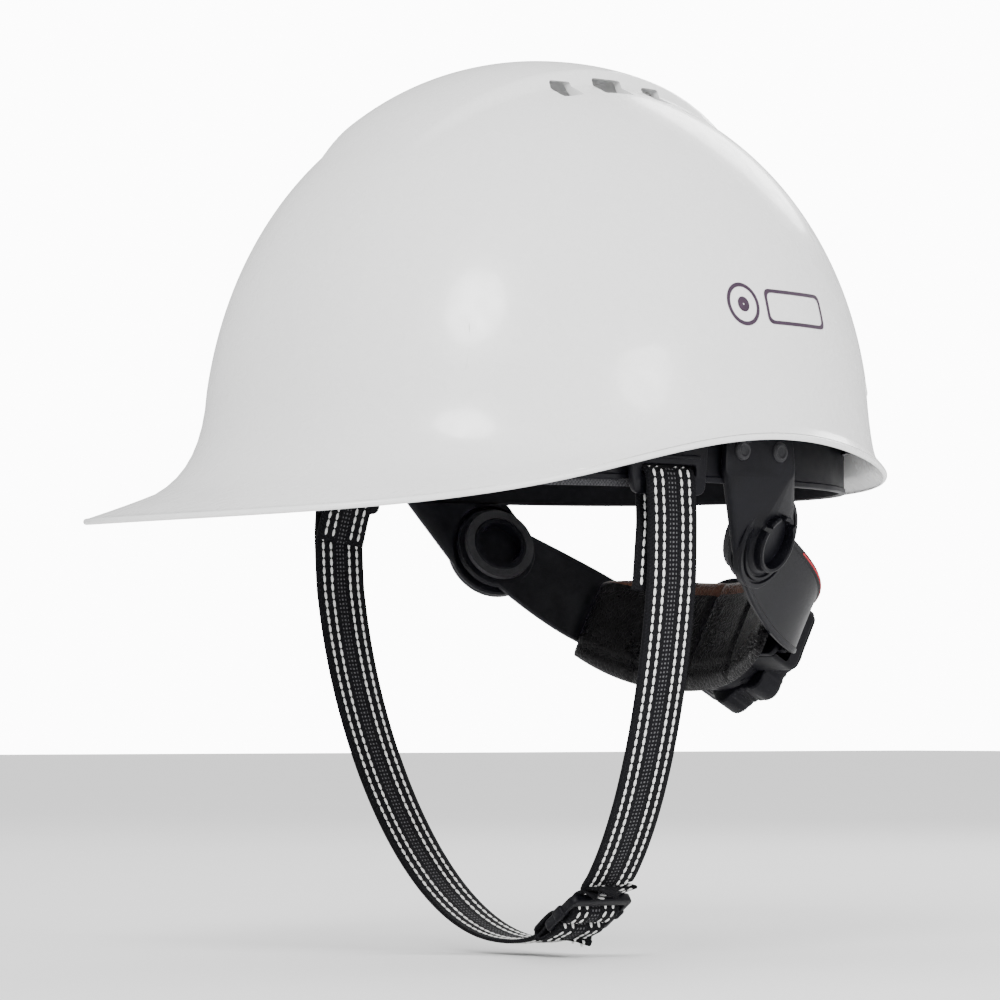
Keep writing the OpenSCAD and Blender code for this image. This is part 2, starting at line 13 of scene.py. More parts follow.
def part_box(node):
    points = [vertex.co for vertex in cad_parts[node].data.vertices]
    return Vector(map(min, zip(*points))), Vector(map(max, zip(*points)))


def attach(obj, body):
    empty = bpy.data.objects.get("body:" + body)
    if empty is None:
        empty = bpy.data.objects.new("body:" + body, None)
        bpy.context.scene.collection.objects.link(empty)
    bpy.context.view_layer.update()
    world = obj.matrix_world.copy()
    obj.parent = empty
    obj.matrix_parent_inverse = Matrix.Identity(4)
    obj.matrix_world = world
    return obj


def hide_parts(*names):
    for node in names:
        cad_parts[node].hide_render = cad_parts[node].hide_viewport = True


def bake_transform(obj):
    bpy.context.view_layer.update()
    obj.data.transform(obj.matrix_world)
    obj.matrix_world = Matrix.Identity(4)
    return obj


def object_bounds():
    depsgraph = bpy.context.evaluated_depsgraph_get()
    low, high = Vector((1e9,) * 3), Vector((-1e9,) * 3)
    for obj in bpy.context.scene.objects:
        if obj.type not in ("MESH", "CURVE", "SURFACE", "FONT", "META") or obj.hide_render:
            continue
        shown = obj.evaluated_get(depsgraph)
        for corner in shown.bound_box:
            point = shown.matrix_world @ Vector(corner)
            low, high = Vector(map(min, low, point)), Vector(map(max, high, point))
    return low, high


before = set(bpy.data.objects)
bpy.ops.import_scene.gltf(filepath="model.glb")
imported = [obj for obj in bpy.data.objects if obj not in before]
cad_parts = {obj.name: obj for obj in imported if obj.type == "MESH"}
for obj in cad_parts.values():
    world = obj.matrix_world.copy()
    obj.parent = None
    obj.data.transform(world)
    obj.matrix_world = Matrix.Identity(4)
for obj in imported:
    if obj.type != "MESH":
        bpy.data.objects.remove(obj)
cad_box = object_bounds()

MM = 0.001
LEFT, RIGHT = 1, -1
SIDE_NAME = {LEFT: "left", RIGHT: "right"}


def sin(a):
    return math.sin(math.radians(a))


def cos(a):
    return math.cos(math.radians(a))


def box_mm(node):
    """Lowest and highest corner of a CAD node, in millimetres."""
    low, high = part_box(node)
    return low / MM, high / MM


def spread(start, end, count):
    """count + 1 even steps from start to end."""
    return [start + (end - start) * i / count for i in range(count + 1)]


def smoothstep(x):
    x = min(1, max(0, x))
    return x * x * (3 - 2 * x)


# ---------------------------------------------------------------- camera, floor and light

CAMERA_AZIMUTH = 50
CAMERA_ELEVATION = -3
CAMERA_DISTANCE = 1.5
VIEW_HEIGHT = 0.3257
BACKDROP_GLOW = 12


def camera():
    direction = Vector((sin(CAMERA_AZIMUTH) * cos(CAMERA_ELEVATION),
                        -cos(CAMERA_AZIMUTH) * cos(CAMERA_ELEVATION), sin(CAMERA_ELEVATION)))
    data = bpy.data.cameras.new("camera")
    data.sensor_width = 36
    data.lens = data.sensor_width * CAMERA_DISTANCE / VIEW_HEIGHT
    data.shift_x = -0.048
    data.shift_y = -0.015
    data.clip_start = 0.05
    eye = bpy.data.objects.new("camera", data)
    eye.location = direction * CAMERA_DISTANCE
    eye.rotation_euler = (-direction).to_track_quat("-Z", "Y").to_euler()
    bpy.context.scene.collection.objects.link(eye)
    bpy.context.scene.camera = eye


def area_light(name, place, size, power, color=(1, 1, 1)):
    data = bpy.data.lights.new(name, "AREA")
    data.shape = "DISK"
    data.size = size
    data.energy = power
    data.color = color
    lamp = bpy.data.objects.new(name, data)
    lamp.location = place
    lamp.rotation_euler = (-Vector(place)).to_track_quat("-Z", "Y").to_euler()
    bpy.context.scene.collection.objects.link(lamp)


def studio():
    world = bpy.data.worlds.new("studio")
    world.use_nodes = True
    nodes, links = world.node_tree.nodes, world.node_tree.links
    background = nodes["Background"]
    background.inputs["Color"].default_value = (1, 1, 1, 1)
    height = nodes.new("ShaderNodeSeparateXYZ")
    links.new(nodes.new("ShaderNodeTexCoord").outputs["Generated"], height.inputs["Vector"])
    sky = nodes.new("ShaderNodeMapRange")
    links.new(height.outputs["Z"], sky.inputs["Value"])
    for socket, number in (("From Min", -0.1), ("From Max", 0.9), ("To Min", 0.7), ("To Max", 1.5)):
        sky.inputs[socket].default_value = number
    seen = nodes.new("ShaderNodeMix")
    links.new(nodes.new("ShaderNodeLightPath").outputs["Is Camera Ray"], seen.inputs["Factor"])
    links.new(sky.outputs["Result"], seen.inputs["A"])
    seen.inputs["B"].default_value = BACKDROP_GLOW
    links.new(seen.outputs["Result"], background.inputs["Strength"])
    bpy.context.scene.world = world
    area_light("key", (0.9, -1.1, 1.0), 0.6, 22)
    area_light("side", (1.5, 0.25, 0.25), 0.5, 10)
    area_light("rear", (-0.6, 1.3, 0.9), 0.7, 10)
    floor = mesh_piece("floor", [(-9000, -9000, 0), (9000, -9000, 0), (9000, 9000, 0), (-9000, 9000, 0)],
                       [(0, 1, 2, 3)])
    floor.location.z = cad_box[0][2] - 0.004
    floor.data.materials.append(floor_finish())


# ---------------------------------------------------------------- finishes

class Finish:
    """A node material with one Principled shader; textures run in object space or along a strip's own UV."""

    def __init__(self, name, base, roughness, **sockets):
        self.material = bpy.data.materials.new(name)
        self.material.use_nodes = True
        self.tree = self.material.node_tree
        self.shader = self.tree.nodes["Principled BSDF"]
        self.shader.inputs["Base Color"].default_value = (*base, 1)
        self.shader.inputs["Roughness"].default_value = roughness
        for socket, value in sockets.items():
            self.shader.inputs[socket.replace("_", " ")].default_value = value
        self.place = self.node("ShaderNodeTexCoord").outputs["Object"]

    def node(self, kind, **settings):
        made = self.tree.nodes.new(kind)
        for key, value in settings.items():
            setattr(made, key, value)
        return made

    def join(self, source, socket):
        if hasattr(source, "node"):
            self.tree.links.new(source, socket)
        else:
            socket.default_value = source

    def noise(self, scale, detail=3, rough=0.5, stretch=None):
        made = self.node("ShaderNodeTexNoise")
        made.inputs["Scale"].default_value = scale
        made.inputs["Detail"].default_value = detail
        made.inputs["Roughness"].default_value = rough
        place = self.place
        if stretch:
            mapping = self.node("ShaderNodeMapping")
            mapping.inputs["Scale"].default_value = stretch
            self.join(place, mapping.inputs["Vector"])
            place = mapping.outputs["Vector"]
        self.join(place, made.inputs["Vector"])
        return made.outputs["Fac"]

    def cells(self, scale, feature="DISTANCE_TO_EDGE"):
        made = self.node("ShaderNodeTexVoronoi", feature=feature)
        made.inputs["Scale"].default_value = scale
        self.join(self.place, made.inputs["Vector"])
        return made.outputs["Distance"]

    def math(self, operation, a, b=0.0):
        made = self.node("ShaderNodeMath", operation=operation)
        self.join(a, made.inputs[0])
        self.join(b, made.inputs[1])
        return made.outputs[0]

    def span(self, value, low, high, to_low=0.0, to_high=1.0):
        made = self.node("ShaderNodeMapRange")
        self.join(value, made.inputs["Value"])
        for socket, number in (("From Min", low), ("From Max", high), ("To Min", to_low), ("To Max", to_high)):
            made.inputs[socket].default_value = number
        return made.outputs["Result"]

    def colour(self, value, dark, light):
        """Mixes two colours by a value; each is three numbers or another node's output."""
        made = self.node("ShaderNodeMix", data_type="RGBA")
        self.join(value, made.inputs["Factor"])
        for socket, tone in (("A", dark), ("B", light)):
            self.join(tone if hasattr(tone, "node") else (*tone, 1), made.inputs[socket])
        return made.outputs["Result"]

    def wave(self, value, period):
        """Sine of a length in millimetres, from -1 to 1."""
        return self.math("SINE", self.math("MULTIPLY", value, 2 * math.pi / period))

    def strip_axes(self):
        """Across and along a strip, in millimetres, from its UV."""
        split = self.node("ShaderNodeSeparateXYZ")
        self.join(self.node("ShaderNodeUVMap", uv_map="strip").outputs["UV"], split.inputs["Vector"])
        return split.outputs["X"], split.outputs["Y"]

    def finish(self, colour=None, roughness=None, height=None, strength=0.3, distance=0.0003):
        if colour is not None:
            self.join(colour, self.shader.inputs["Base Color"])
        if roughness is not None:
            self.join(roughness, self.shader.inputs["Roughness"])
        if height is not None:
            bump = self.node("ShaderNodeBump")
            bump.inputs["Strength"].default_value = strength
            bump.inputs["Distance"].default_value = distance
            self.join(height, bump.inputs["Height"])
            self.join(bump.outputs["Normal"], self.shader.inputs["Normal"])
        return self.material


def floor_finish():
    f = Finish("floor", (0.97, 0.97, 0.97), 0.7)
    return f.finish(colour=f.colour(f.noise(6), (0.95, 0.95, 0.95), (0.98, 0.98, 0.98)))


def shell_finish():
    f = Finish("shell_gloss", (0.9, 0.9, 0.9), 0.26, Coat_Weight=0.35, Coat_Roughness=0.09, IOR=1.5)
    haze = f.noise(14, 4)
    peel = f.math("ADD", f.noise(420, 2), f.math("MULTIPLY", f.noise(90, 2), 0.6))
    return f.finish(colour=f.colour(haze, (0.86, 0.865, 0.87), (0.93, 0.93, 0.92)),
                    roughness=f.span(f.noise(160, 5), 0.3, 0.7, 0.2, 0.34), height=peel, strength=0.06)


def moulded(name, dark, light, low=0.34, high=0.52, grain=2600, strength=0.14):
    """Moulded plastic: fine spark-eroded grain, with rubbed and dusty patches."""
    f = Finish(name, dark, low, IOR=1.5, Specular_IOR_Level=0.12)
    patches = f.span(f.noise(70, 6, 0.6), 0.35, 0.7)
    specks = f.span(f.noise(grain, 2), 0.35, 0.75)
    tone = f.math("ADD", f.math("MULTIPLY", patches, 0.6), f.math("MULTIPLY", specks, 0.4))
    scratches = f.noise(260, 2, 0.5, (1, 1, 14))
    return f.finish(colour=f.colour(tone, dark, light), roughness=f.span(patches, 0, 1, low, high),
                    height=f.math("ADD", specks, f.math("MULTIPLY", scratches, 0.35)), strength=strength,
                    distance=0.0002)


def woven(name, dark, light, rib=1.15, yarn=1.05, spots=None):
    """Webbing: crosswise ribs broken into yarns, slanting either side of the middle; spots is a stitched stripe."""
    f = Finish(name, dark, 0.72, Sheen_Weight=0.01, Sheen_Roughness=0.45, Specular_IOR_Level=0.06)
    across, along = f.strip_axes()
    slant = f.math("MULTIPLY", f.math("ABSOLUTE", f.wave(across, 6.4)), 0.9)
    ribs = f.wave(f.math("ADD", along, slant), rib)
    yarns = f.wave(f.math("ADD", across, f.math("MULTIPLY", ribs, 0.12)), yarn)
    weave = f.span(f.math("ADD", f.math("MULTIPLY", ribs, 0.6), f.math("MULTIPLY", yarns, 0.4)), -1, 1)
    fuzz = f.noise(3800, 3)
    tone = f.math("ADD", f.math("MULTIPLY", weave, 0.75), f.math("MULTIPLY", f.noise(120, 4), 0.35))
    colour = f.colour(tone, dark, light)
    if spots:
        inside = f.math("LESS_THAN", f.math("ABSOLUTE", across), 1.5)
        row = f.math("GREATER_THAN", f.wave(along, 1.4), 0.25)
        column = f.math("GREATER_THAN", f.wave(f.math("ADD", across, 0.35), 1.4), 0.1)
        colour = f.colour(f.math("MULTIPLY", f.math("MULTIPLY", inside, row), column), colour, spots)
    return f.finish(colour=colour, roughness=f.span(weave, 0, 1, 0.62, 0.85),
                    height=f.math("ADD", weave, f.math("MULTIPLY", fuzz, 0.4)), strength=0.7, distance=0.0003)


def thread_finish():
    f = Finish("thread", (0.85, 0.85, 0.83), 0.6, Sheen_Weight=0.3, Sheen_Roughness=0.4)
    twist = f.noise(2600, 2)
    return f.finish(colour=f.colour(twist, (0.68, 0.68, 0.67), (0.95, 0.95, 0.93)), height=twist,
                    strength=0.5, distance=0.0002)


def knit_finish():
    f = Finish("knit_cloth", (0.03, 0.03, 0.035), 0.85, Sheen_Weight=0.1, Sheen_Roughness=0.5)
    across, along = f.strip_axes()
    loops = f.math("MULTIPLY", f.wave(across, 1.3), f.wave(along, 1.1))
    height = f.math("ADD", f.span(loops, -1, 1), f.math("MULTIPLY", f.noise(2400, 3), 0.5))
    return f.finish(colour=f.colour(f.span(height, 0.2, 1.4), (0.014, 0.014, 0.017), (0.06, 0.06, 0.066)),
                    height=height, strength=0.8, distance=0.0004)


BROWN_FROM = 14


def pad_finish():
    """Lining of the nape pad: brown leather with painted shade, glossy near-black below a brown band along its lit
    top edge.
    """
    f = Finish("pad_leather", (0.04, 0.022, 0.015), 0.5, Sheen_Weight=0.03, Sheen_Roughness=0.4,
               Specular_IOR_Level=0.16)
    grain = f.span(f.cells(620), 0.0, 0.16)
    wear = f.span(f.noise(60, 6, 0.65), 0.38, 0.72)
    height = f.math("ADD", grain, f.math("MULTIPLY", f.noise(1500, 3), 0.4))
    tone = f.math("ADD", f.math("MULTIPLY", wear, 0.7), f.math("MULTIPLY", grain, 0.3))
    # Painted shade: below BROWN_FROM millimetres across, the brown leather is painted near-black, and only the lit
    # band along the top edge keeps its brown.
    band = f.math("GREATER_THAN", f.strip_axes()[0], BROWN_FROM)
    black = f.colour(tone, (0.0015, 0.0015, 0.002), (0.007, 0.0065, 0.007))
    brown = f.colour(tone, (0.04, 0.02, 0.014), (0.1, 0.045, 0.028))
    return f.finish(colour=f.colour(band, black, brown), roughness=f.span(wear, 0, 1, 0.24, 0.5),
                    height=height, strength=0.45, distance=0.0003)


def steel_finish():
    f = Finish("plated_steel", (0.62, 0.62, 0.63), 0.28, Metallic=1.0)
    brush = f.noise(900, 4, 0.6, (1, 1, 9))
    return f.finish(colour=f.colour(brush, (0.5, 0.5, 0.52), (0.7, 0.7, 0.7)),
                    roughness=f.span(brush, 0.3, 0.7, 0.2, 0.38), height=brush, strength=0.1, distance=0.0001)


def ink_finish():
    f = Finish("print_ink", (0.03, 0.012, 0.03), 0.4)
    wear = f.noise(500, 5, 0.6)
    return f.finish(colour=f.colour(wear, (0.018, 0.008, 0.02), (0.05, 0.02, 0.05)),
                    roughness=f.span(wear, 0.3, 0.7, 0.3, 0.5))


# ---------------------------------------------------------------- making meshes

def mesh_piece(name, points, faces, sharp=38):
    """A mesh from points in millimetres, closed shapes facing outward, smooth but for edges past sharp degrees."""
    mesh = bpy.data.meshes.new(name)
    mesh.from_pydata([Vector(p) * MM for p in points], [], faces)
    mesh.validate()
    work = bmesh.new()
    work.from_mesh(mesh)
    bmesh.ops.recalc_face_normals(work, faces=work.faces)
    work.to_mesh(mesh)
    work.free()
    mesh.polygons.foreach_set("use_smooth", [True] * len(mesh.polygons))
    mesh.set_sharp_from_angle(angle=math.radians(sharp))
    obj = bpy.data.objects.new(name, mesh)
    bpy.context.scene.collection.objects.link(obj)
    return obj


def ring_faces(count, rings, closed=True):
    """Faces between rings of count points; closed adds a cap at both ends."""
    faces = [(i * count + j, i * count + (j + 1) % count, (i + 1) * count + (j + 1) % count, (i + 1) * count + j)
             for i in range(rings - 1) for j in range(count)]
    if closed:
        faces += [tuple(range(count)), tuple(range((rings - 1) * count, rings * count))]
    return faces


def ring_piece(name, rings, sharp=38, closed=True):
    return mesh_piece(name, [p for ring in rings for p in ring], ring_faces(len(rings[0]), len(rings), closed), sharp)


def lathe(profile, segments=96):
    """Rings of a profile of (along, radius) turned about the X axis."""
    return [[(x, r * cos(j * 360 / segments), r * sin(j * 360 / segments)) for j in range(segments)]
            for x, r in profile]


def moved(rings, matrix):
    return [[matrix @ Vector(p) for p in ring] for ring in rings]


def settle(obj):
    """Turns the object's modifiers into its mesh."""
    bpy.context.view_layer.update()
    shown = obj.evaluated_get(bpy.context.evaluated_depsgraph_get())
    mesh = bpy.data.meshes.new_from_object(shown)
    obj.modifiers.clear()
    obj.data = mesh


def cut(obj, cutter):
    """Takes cutter's shape out of obj."""
    modifier = obj.modifiers.new("cut", "BOOLEAN")
    modifier.operation = "DIFFERENCE"
    modifier.solver = "EXACT"
    modifier.object = cutter
    settle(obj)
    bpy.data.objects.remove(cutter)
    obj.data.polygons.foreach_set("use_smooth", [True] * len(obj.data.polygons))
    obj.data.set_sharp_from_angle(angle=math.radians(38))


def join(name, pieces, sharp=None):
    """One object of several pieces; sharp marks its edges past that many degrees afresh."""
    work = bmesh.new()
    for piece in pieces:
        piece.data.transform(piece.matrix_world)
        work.from_mesh(piece.data)
    mesh = bpy.data.meshes.new(name)
    work.to_mesh(mesh)
    work.free()
    for piece in pieces:
        bpy.data.objects.remove(piece)
    if sharp:
        mesh.set_sharp_from_angle(angle=math.radians(sharp))
    obj = bpy.data.objects.new(name, mesh)
    bpy.context.scene.collection.objects.link(obj)
    return obj


def soft_box(name, low, high, radius, matrix=Matrix(), segments=3):
    """A box from corner to corner, in millimetres, with rounded edges."""
    work = bmesh.new()
    bmesh.ops.create_cube(work, size=1)
    low, high = Vector(low), Vector(high)
    for vertex in work.verts:
        vertex.co = Vector([low[k] if vertex.co[k] < 0 else high[k] for k in range(3)])
    bmesh.ops.bevel(work, geom=work.edges[:], offset=radius, segments=segments, profile=0.5, affect="EDGES")
    points = [matrix @ v.co for v in work.verts]
    faces = [[v.index for v in face.verts] for face in work.faces]
    work.free()
    return mesh_piece(name, points, faces)


def plate(name, loops, thickness, edge, matrix, sharp=38):
    """A flat plate with rounded edges: loops are its outline and holes in the XY plane; it grows along Z."""
    curve = bpy.data.curves.new(name, "CURVE")
    curve.dimensions = "2D"
    curve.fill_mode = "BOTH"
    curve.extrude = thickness / 2 - edge
    curve.bevel_depth = edge
    curve.bevel_resolution = 2
    curve.offset = -edge
    for loop in loops:
        spline = curve.splines.new("POLY")
        spline.points.add(len(loop) - 1)
        for point, (x, y) in zip(spline.points, loop):
            point.co = (x, y, 0, 1)
        spline.use_cyclic_u = True
    shape = bpy.data.objects.new(name, curve)
    bpy.context.scene.collection.objects.link(shape)
    bpy.context.view_layer.update()
    mesh = bpy.data.meshes.new_from_object(shape.evaluated_get(bpy.context.evaluated_depsgraph_get()))
    lift = Matrix.Translation((0, 0, thickness / 2))
    points = [matrix @ lift @ v.co for v in mesh.vertices]
    faces = [tuple(polygon.vertices) for polygon in mesh.polygons]
    bpy.data.objects.remove(shape)
    return weld(mesh_piece(name, points, faces, sharp), sharp)


def weld(obj, sharp=38):
    work = bmesh.new()
    work.from_mesh(obj.data)
    bmesh.ops.remove_doubles(work, verts=work.verts, dist=0.00001)
    bmesh.ops.recalc_face_normals(work, faces=work.faces)
    work.to_mesh(obj.data)
    work.free()
    obj.data.set_sharp_from_angle(angle=math.radians(sharp))
    return obj


def rounded_outline(corners, radius, steps=5):
    """A convex outline with its corners rounded."""
    outline = []
    count = len(corners)
    for i, corner in enumerate(corners):
        here = Vector(corner)
        before = (Vector(corners[i - 1]) - here).normalized() * radius
        after = (Vector(corners[(i + 1) % count]) - here).normalized() * radius
        for k in range(steps + 1):
            share = k / steps
            outline.append(here + before * (1 - share) ** 2 + after * share ** 2)
    return [tuple(p) for p in outline]


def circle(radius, x=0, y=0, steps=32):
    return [(x + radius * cos(k * 360 / steps), y + radius * sin(k * 360 / steps)) for k in range(steps)]


def dress(obj, material, body=None, replaces=()):
    obj.data.materials.clear()
    obj.data.materials.append(material)
    if replaces:
        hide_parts(*replaces)
    if body:
        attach(obj, body)
    return obj


# ---------------------------------------------------------------- strips of webbing

def smooth_path(points, step):
    """A Catmull-Rom curve through points, with a point about every step millimetres."""
    points = [Vector(p) for p in points]
    ends = [2 * points[0] - points[1], *points, 2 * points[-1] - points[-2]]
    path = []
    for a, b, c, d in zip(ends, ends[1:], ends[2:], ends[3:]):
        count = max(1, round((c - b).length / step))
        for k in range(count):
            t = k / count
            path.append(0.5 * (2 * b + (c - a) * t + (2 * a - 5 * b + 4 * c - d) * t ** 2
                               + (3 * b - a - 3 * c + d) * t ** 3))
    return path + [points[-1]]


def stations(path, side_at):
    """(centre, across, out) along a path; side_at(i) is the strip's wanted width direction."""
    made = []
    last = len(path) - 1
    for i, centre in enumerate(path):
        tangent = (path[min(last, i + 1)] - path[max(0, i - 1)]).normalized()
        side = side_at(i)
        across = (side - tangent * side.dot(tangent)).normalized()
        made.append((centre, across, tangent.cross(across)))
    return made


def flat_section(width, thickness, steps=14):
    """A strip's section, as (across, out) points, with round edges."""
    half, edge = width / 2, thickness / 2

    def lift(u):
        over = max(0, abs(u) - (half - edge)) / edge
        return edge * math.sqrt(max(0, 1 - over * over))

    across = [-half * cos(180 * k / steps) for k in range(steps + 1)]
    return [(u, lift(u)) for u in across] + [(u, -lift(u)) for u in across[-2:0:-1]]


def run_lengths(path):
    lengths = [0]
    for a, b in zip(path, path[1:]):
        lengths.append(lengths[-1] + (b - a).length)
    return lengths


def strip_piece(name, places, section_at, sharp=50):
    """A strip swept through stations, with a UV of millimetres across and along; section_at(i) is its section."""
    rings = [[centre + across * u + out * n for u, n in section_at(i)]
             for i, (centre, across, out) in enumerate(places)]
    obj = ring_piece(name, rings, sharp)
    along = run_lengths([place[0] for place in places])
    count = len(rings[0])
    flat = [(section_at(i)[j][0], along[i]) for i in range(len(rings)) for j in range(count)]
    layer = obj.data.uv_layers.new(name="strip")
    for loop in obj.data.loops:
        layer.data[loop.index].uv = flat[loop.vertex_index]
    return obj


STITCH_PITCH = 2.8
STITCH_LINES = [-7, -3.8, 3.8, 7]


def bead(centre, along, across, out, size, segments=8, rows=4):
    """Points and faces of one small ellipsoid."""
    points = [centre - along * size[0]]
    for i in range(1, rows):
        for j in range(segments):
            a, b = 180 * i / rows, 360 * j / segments
            points.append(centre - along * size[0] * cos(a) + across * size[1] * sin(a) * cos(b)
                          + out * size[2] * sin(a) * sin(b))
    points.append(centre + along * size[0])
    faces = [(0, 1 + (j + 1) % segments, 1 + j) for j in range(segments)]
    for i in range(rows - 2):
        faces += [(1 + i * segments + j, 1 + i * segments + (j + 1) % segments,
                   1 + (i + 1) * segments + (j + 1) % segments, 1 + (i + 1) * segments + j)
                  for j in range(segments)]
    top, last = len(points) - 1, 1 + (rows - 2) * segments
    faces += [(top, last + j, last + (j + 1) % segments) for j in range(segments)]
    return points, faces


def stitches(name, places, thickness, lines, start=3.0, end=3.0, pitch=STITCH_PITCH, size=(1.32, 0.55, 0.3)):
    """Rows of chain stitches on both faces of a strip."""
    along = run_lengths([place[0] for place in places])
    points, faces = [], []
    marks = []
    distance = start
    while distance < along[-1] - end:
        marks.append(distance)
        distance += pitch
    i = 0
    for mark in marks:
        while along[i + 1] < mark:
            i += 1
        centre, across, out = places[i]
        tangent = (places[i + 1][0] - centre).normalized()
        centre = centre + tangent * (mark - along[i])
        for line in lines:
            for face in (1, -1):
                at = centre + across * line + out * face * (thickness / 2 + 0.02)
                made, more = bead(at, tangent, across, out, size)
                faces += [tuple(v + len(points) for v in f) for f in more]
                points += made
    return mesh_piece(name, points, faces)


# ---------------------------------------------------------------- helmet form, as in the CAD model

SHELL_LOW, SHELL_HIGH = box_mm("shell")
DOME_Y = -4
DOME_HALF_W = 98
DOME_HALF_L = 111.5
DOME_POWER = 2.15
ROUND_R = 0.96
ROUND_Z = 0.94
CROWN_Z = 133
SHELL_WALL = 2.6
BRIM_HALF_W = SHELL_HIGH.x
BRIM_HALF_L = SHELL_HIGH.y - DOME_Y
PEAK_REACH = DOME_Y - SHELL_LOW.y - BRIM_HALF_L
PEAK_HALF_ANGLE = 75
RIDGE_H = 4.5
RIDGE_HALF_W = 35
RIDGE_FRONT, RIDGE_REAR = -78, 66


def plan_r(a, b, power, t):
    return (abs(sin(t) / a) ** power + abs(cos(t) / b) ** power) ** (-1 / power)


def peak(t):
    t = min(t % 360, 360 - t % 360)
    return cos(t * 90 / PEAK_HALF_ANGLE) ** 2 if t < PEAK_HALF_ANGLE else 0


def rim_z(t):
    return 0.5 - 8.2 * cos(t) - 9.2 * cos(2 * t) + 0.4 * cos(3 * t) + 1.4 * cos(4 * t)


def base_z(t):
    return rim_z(t) + 8 + 12 * peak(t)


def dome_r(t, inset=0):
    return plan_r(DOME_HALF_W - inset, DOME_HALF_L - inset, DOME_POWER, t)


def brim_r(t):
    return plan_r(BRIM_HALF_W, BRIM_HALF_L, DOME_POWER, t) + PEAK_REACH * peak(t)


def around(t, r, z):
    return Vector((r * sin(t), DOME_Y - r * cos(t), z))


def ridge_share(y):
    inside = (y - RIDGE_FRONT) / (RIDGE_REAR - RIDGE_FRONT)
    return math.sqrt(sin(180 * inside)) if 0 < inside < 1 else 0


def ridge_lift(x, y, inset=0):
    """Height of the crown ridge above the dome, with a soft shoulder."""
    share = ridge_share(y)
    half = RIDGE_HALF_W * (0.62 + 0.38 * share) - inset
    shoulder = smoothstep((half + 0.7 - abs(x)) / 2.2)
    return smoothstep(share * 1.6) * RIDGE_H * share * shoulder


def dome_point(t, s, inset=0):
    high = base_z(t) + (CROWN_Z - inset - base_z(t)) * max(0, cos(s)) ** ROUND_Z
    p = around(t, dome_r(t, inset) * sin(s) ** ROUND_R, high)
    p.z += ridge_lift(p.x, p.y, inset)
    return p


def dome_at(t, z, inset=0):
    """The dome's point at angle t and height z, below the ridge."""
    share = (z - base_z(t)) / (CROWN_Z - inset - base_z(t))
    s = math.degrees(math.acos(min(1, max(0, share)) ** (1 / ROUND_Z)))
    return around(t, dome_r(t, inset) * sin(s) ** ROUND_R, z)


def brim_point(t, s, drop=0):
    r0, r1 = dome_r(t), brim_r(t)
    return around(t, r0 + (r1 - r0) * s, base_z(t) + (rim_z(t) - base_z(t)) * s ** 0.75 - drop)


def bend(a, b, c, share):
    """Point of the curve from a to c that leans toward b."""
    return a * (1 - share) ** 2 + b * 2 * share * (1 - share) + c * share ** 2


SHELL_SIDES = 288
FILLET_FROM, FILLET_TO = 80, 0.42
BEAD_R = 1


def shell_profile(t):
    """One section of the shell at angle t, from the crown over the rim and back up the inside."""
    line = [dome_point(t, s) for s in (*spread(1.5, 9, 5), *spread(9.5, 50, 81), *spread(51.5, FILLET_FROM, 19))]
    low, corner, far = dome_point(t, FILLET_FROM), dome_point(t, 90), brim_point(t, FILLET_TO)
    line += [bend(low, corner, far, k / 8) for k in range(1, 9)]
    line += [brim_point(t, s) for s in (0.55, 0.68, 0.8, 0.9)]
    edge = around(t, brim_r(t) - BEAD_R + 0.1, rim_z(t) - BEAD_R * 0.6)
    out = around(t, 1, 0) - around(t, 0, 0)
    line += [edge + out * BEAD_R * cos(a) + Vector((0, 0, BEAD_R * sin(a))) for a in spread(105, -105, 9)]
    line += [brim_point(t, s, 1.8) for s in (0.88, 0.7, 0.45)]
    inner = dome_point(t, 84, SHELL_WALL)
    line += [bend(brim_point(t, 0.3, 1.8), brim_point(t, 0.02, 2.2), inner, k / 6) for k in range(7)]
    line += [dome_point(t, s, SHELL_WALL) for s in spread(82, 2, 40)]
    return line


VENTS = [(-24, 8), (-5, 12), (14, 8)]
VENT_DROP = 3.8
VENT_H = 6
VENT_DEPTH = 14


def vent_cutter():
    boxes = []
    for side in (LEFT, RIGHT):
        for y, length in VENTS:
            t = math.degrees(math.atan2(RIDGE_HALF_W, DOME_Y - y))
            r = math.hypot(RIDGE_HALF_W, DOME_Y - y)
            s = math.degrees(math.asin((r / dome_r(t)) ** (1 / ROUND_R)))
            top = base_z(t) + (CROWN_Z - base_z(t)) * cos(s) ** ROUND_Z
            low = (side * RIDGE_HALF_W - VENT_DEPTH / 2, y - length / 2, top - VENT_DROP)
            high = (side * RIDGE_HALF_W + VENT_DEPTH / 2, y + length / 2, top - VENT_DROP + VENT_H)
            boxes.append(soft_box("vent", low, high, 0.9))
    return join("vents", boxes)


KEY_ANGLES = [32, 90, 146, 214, 270, 328]
SOCKET_HALF_W = 12
SOCKET_Z = (29, 44)
RIB_TOP_Z = 56


def key_r(t):
    return dome_r(t, SHELL_WALL) - 6.4


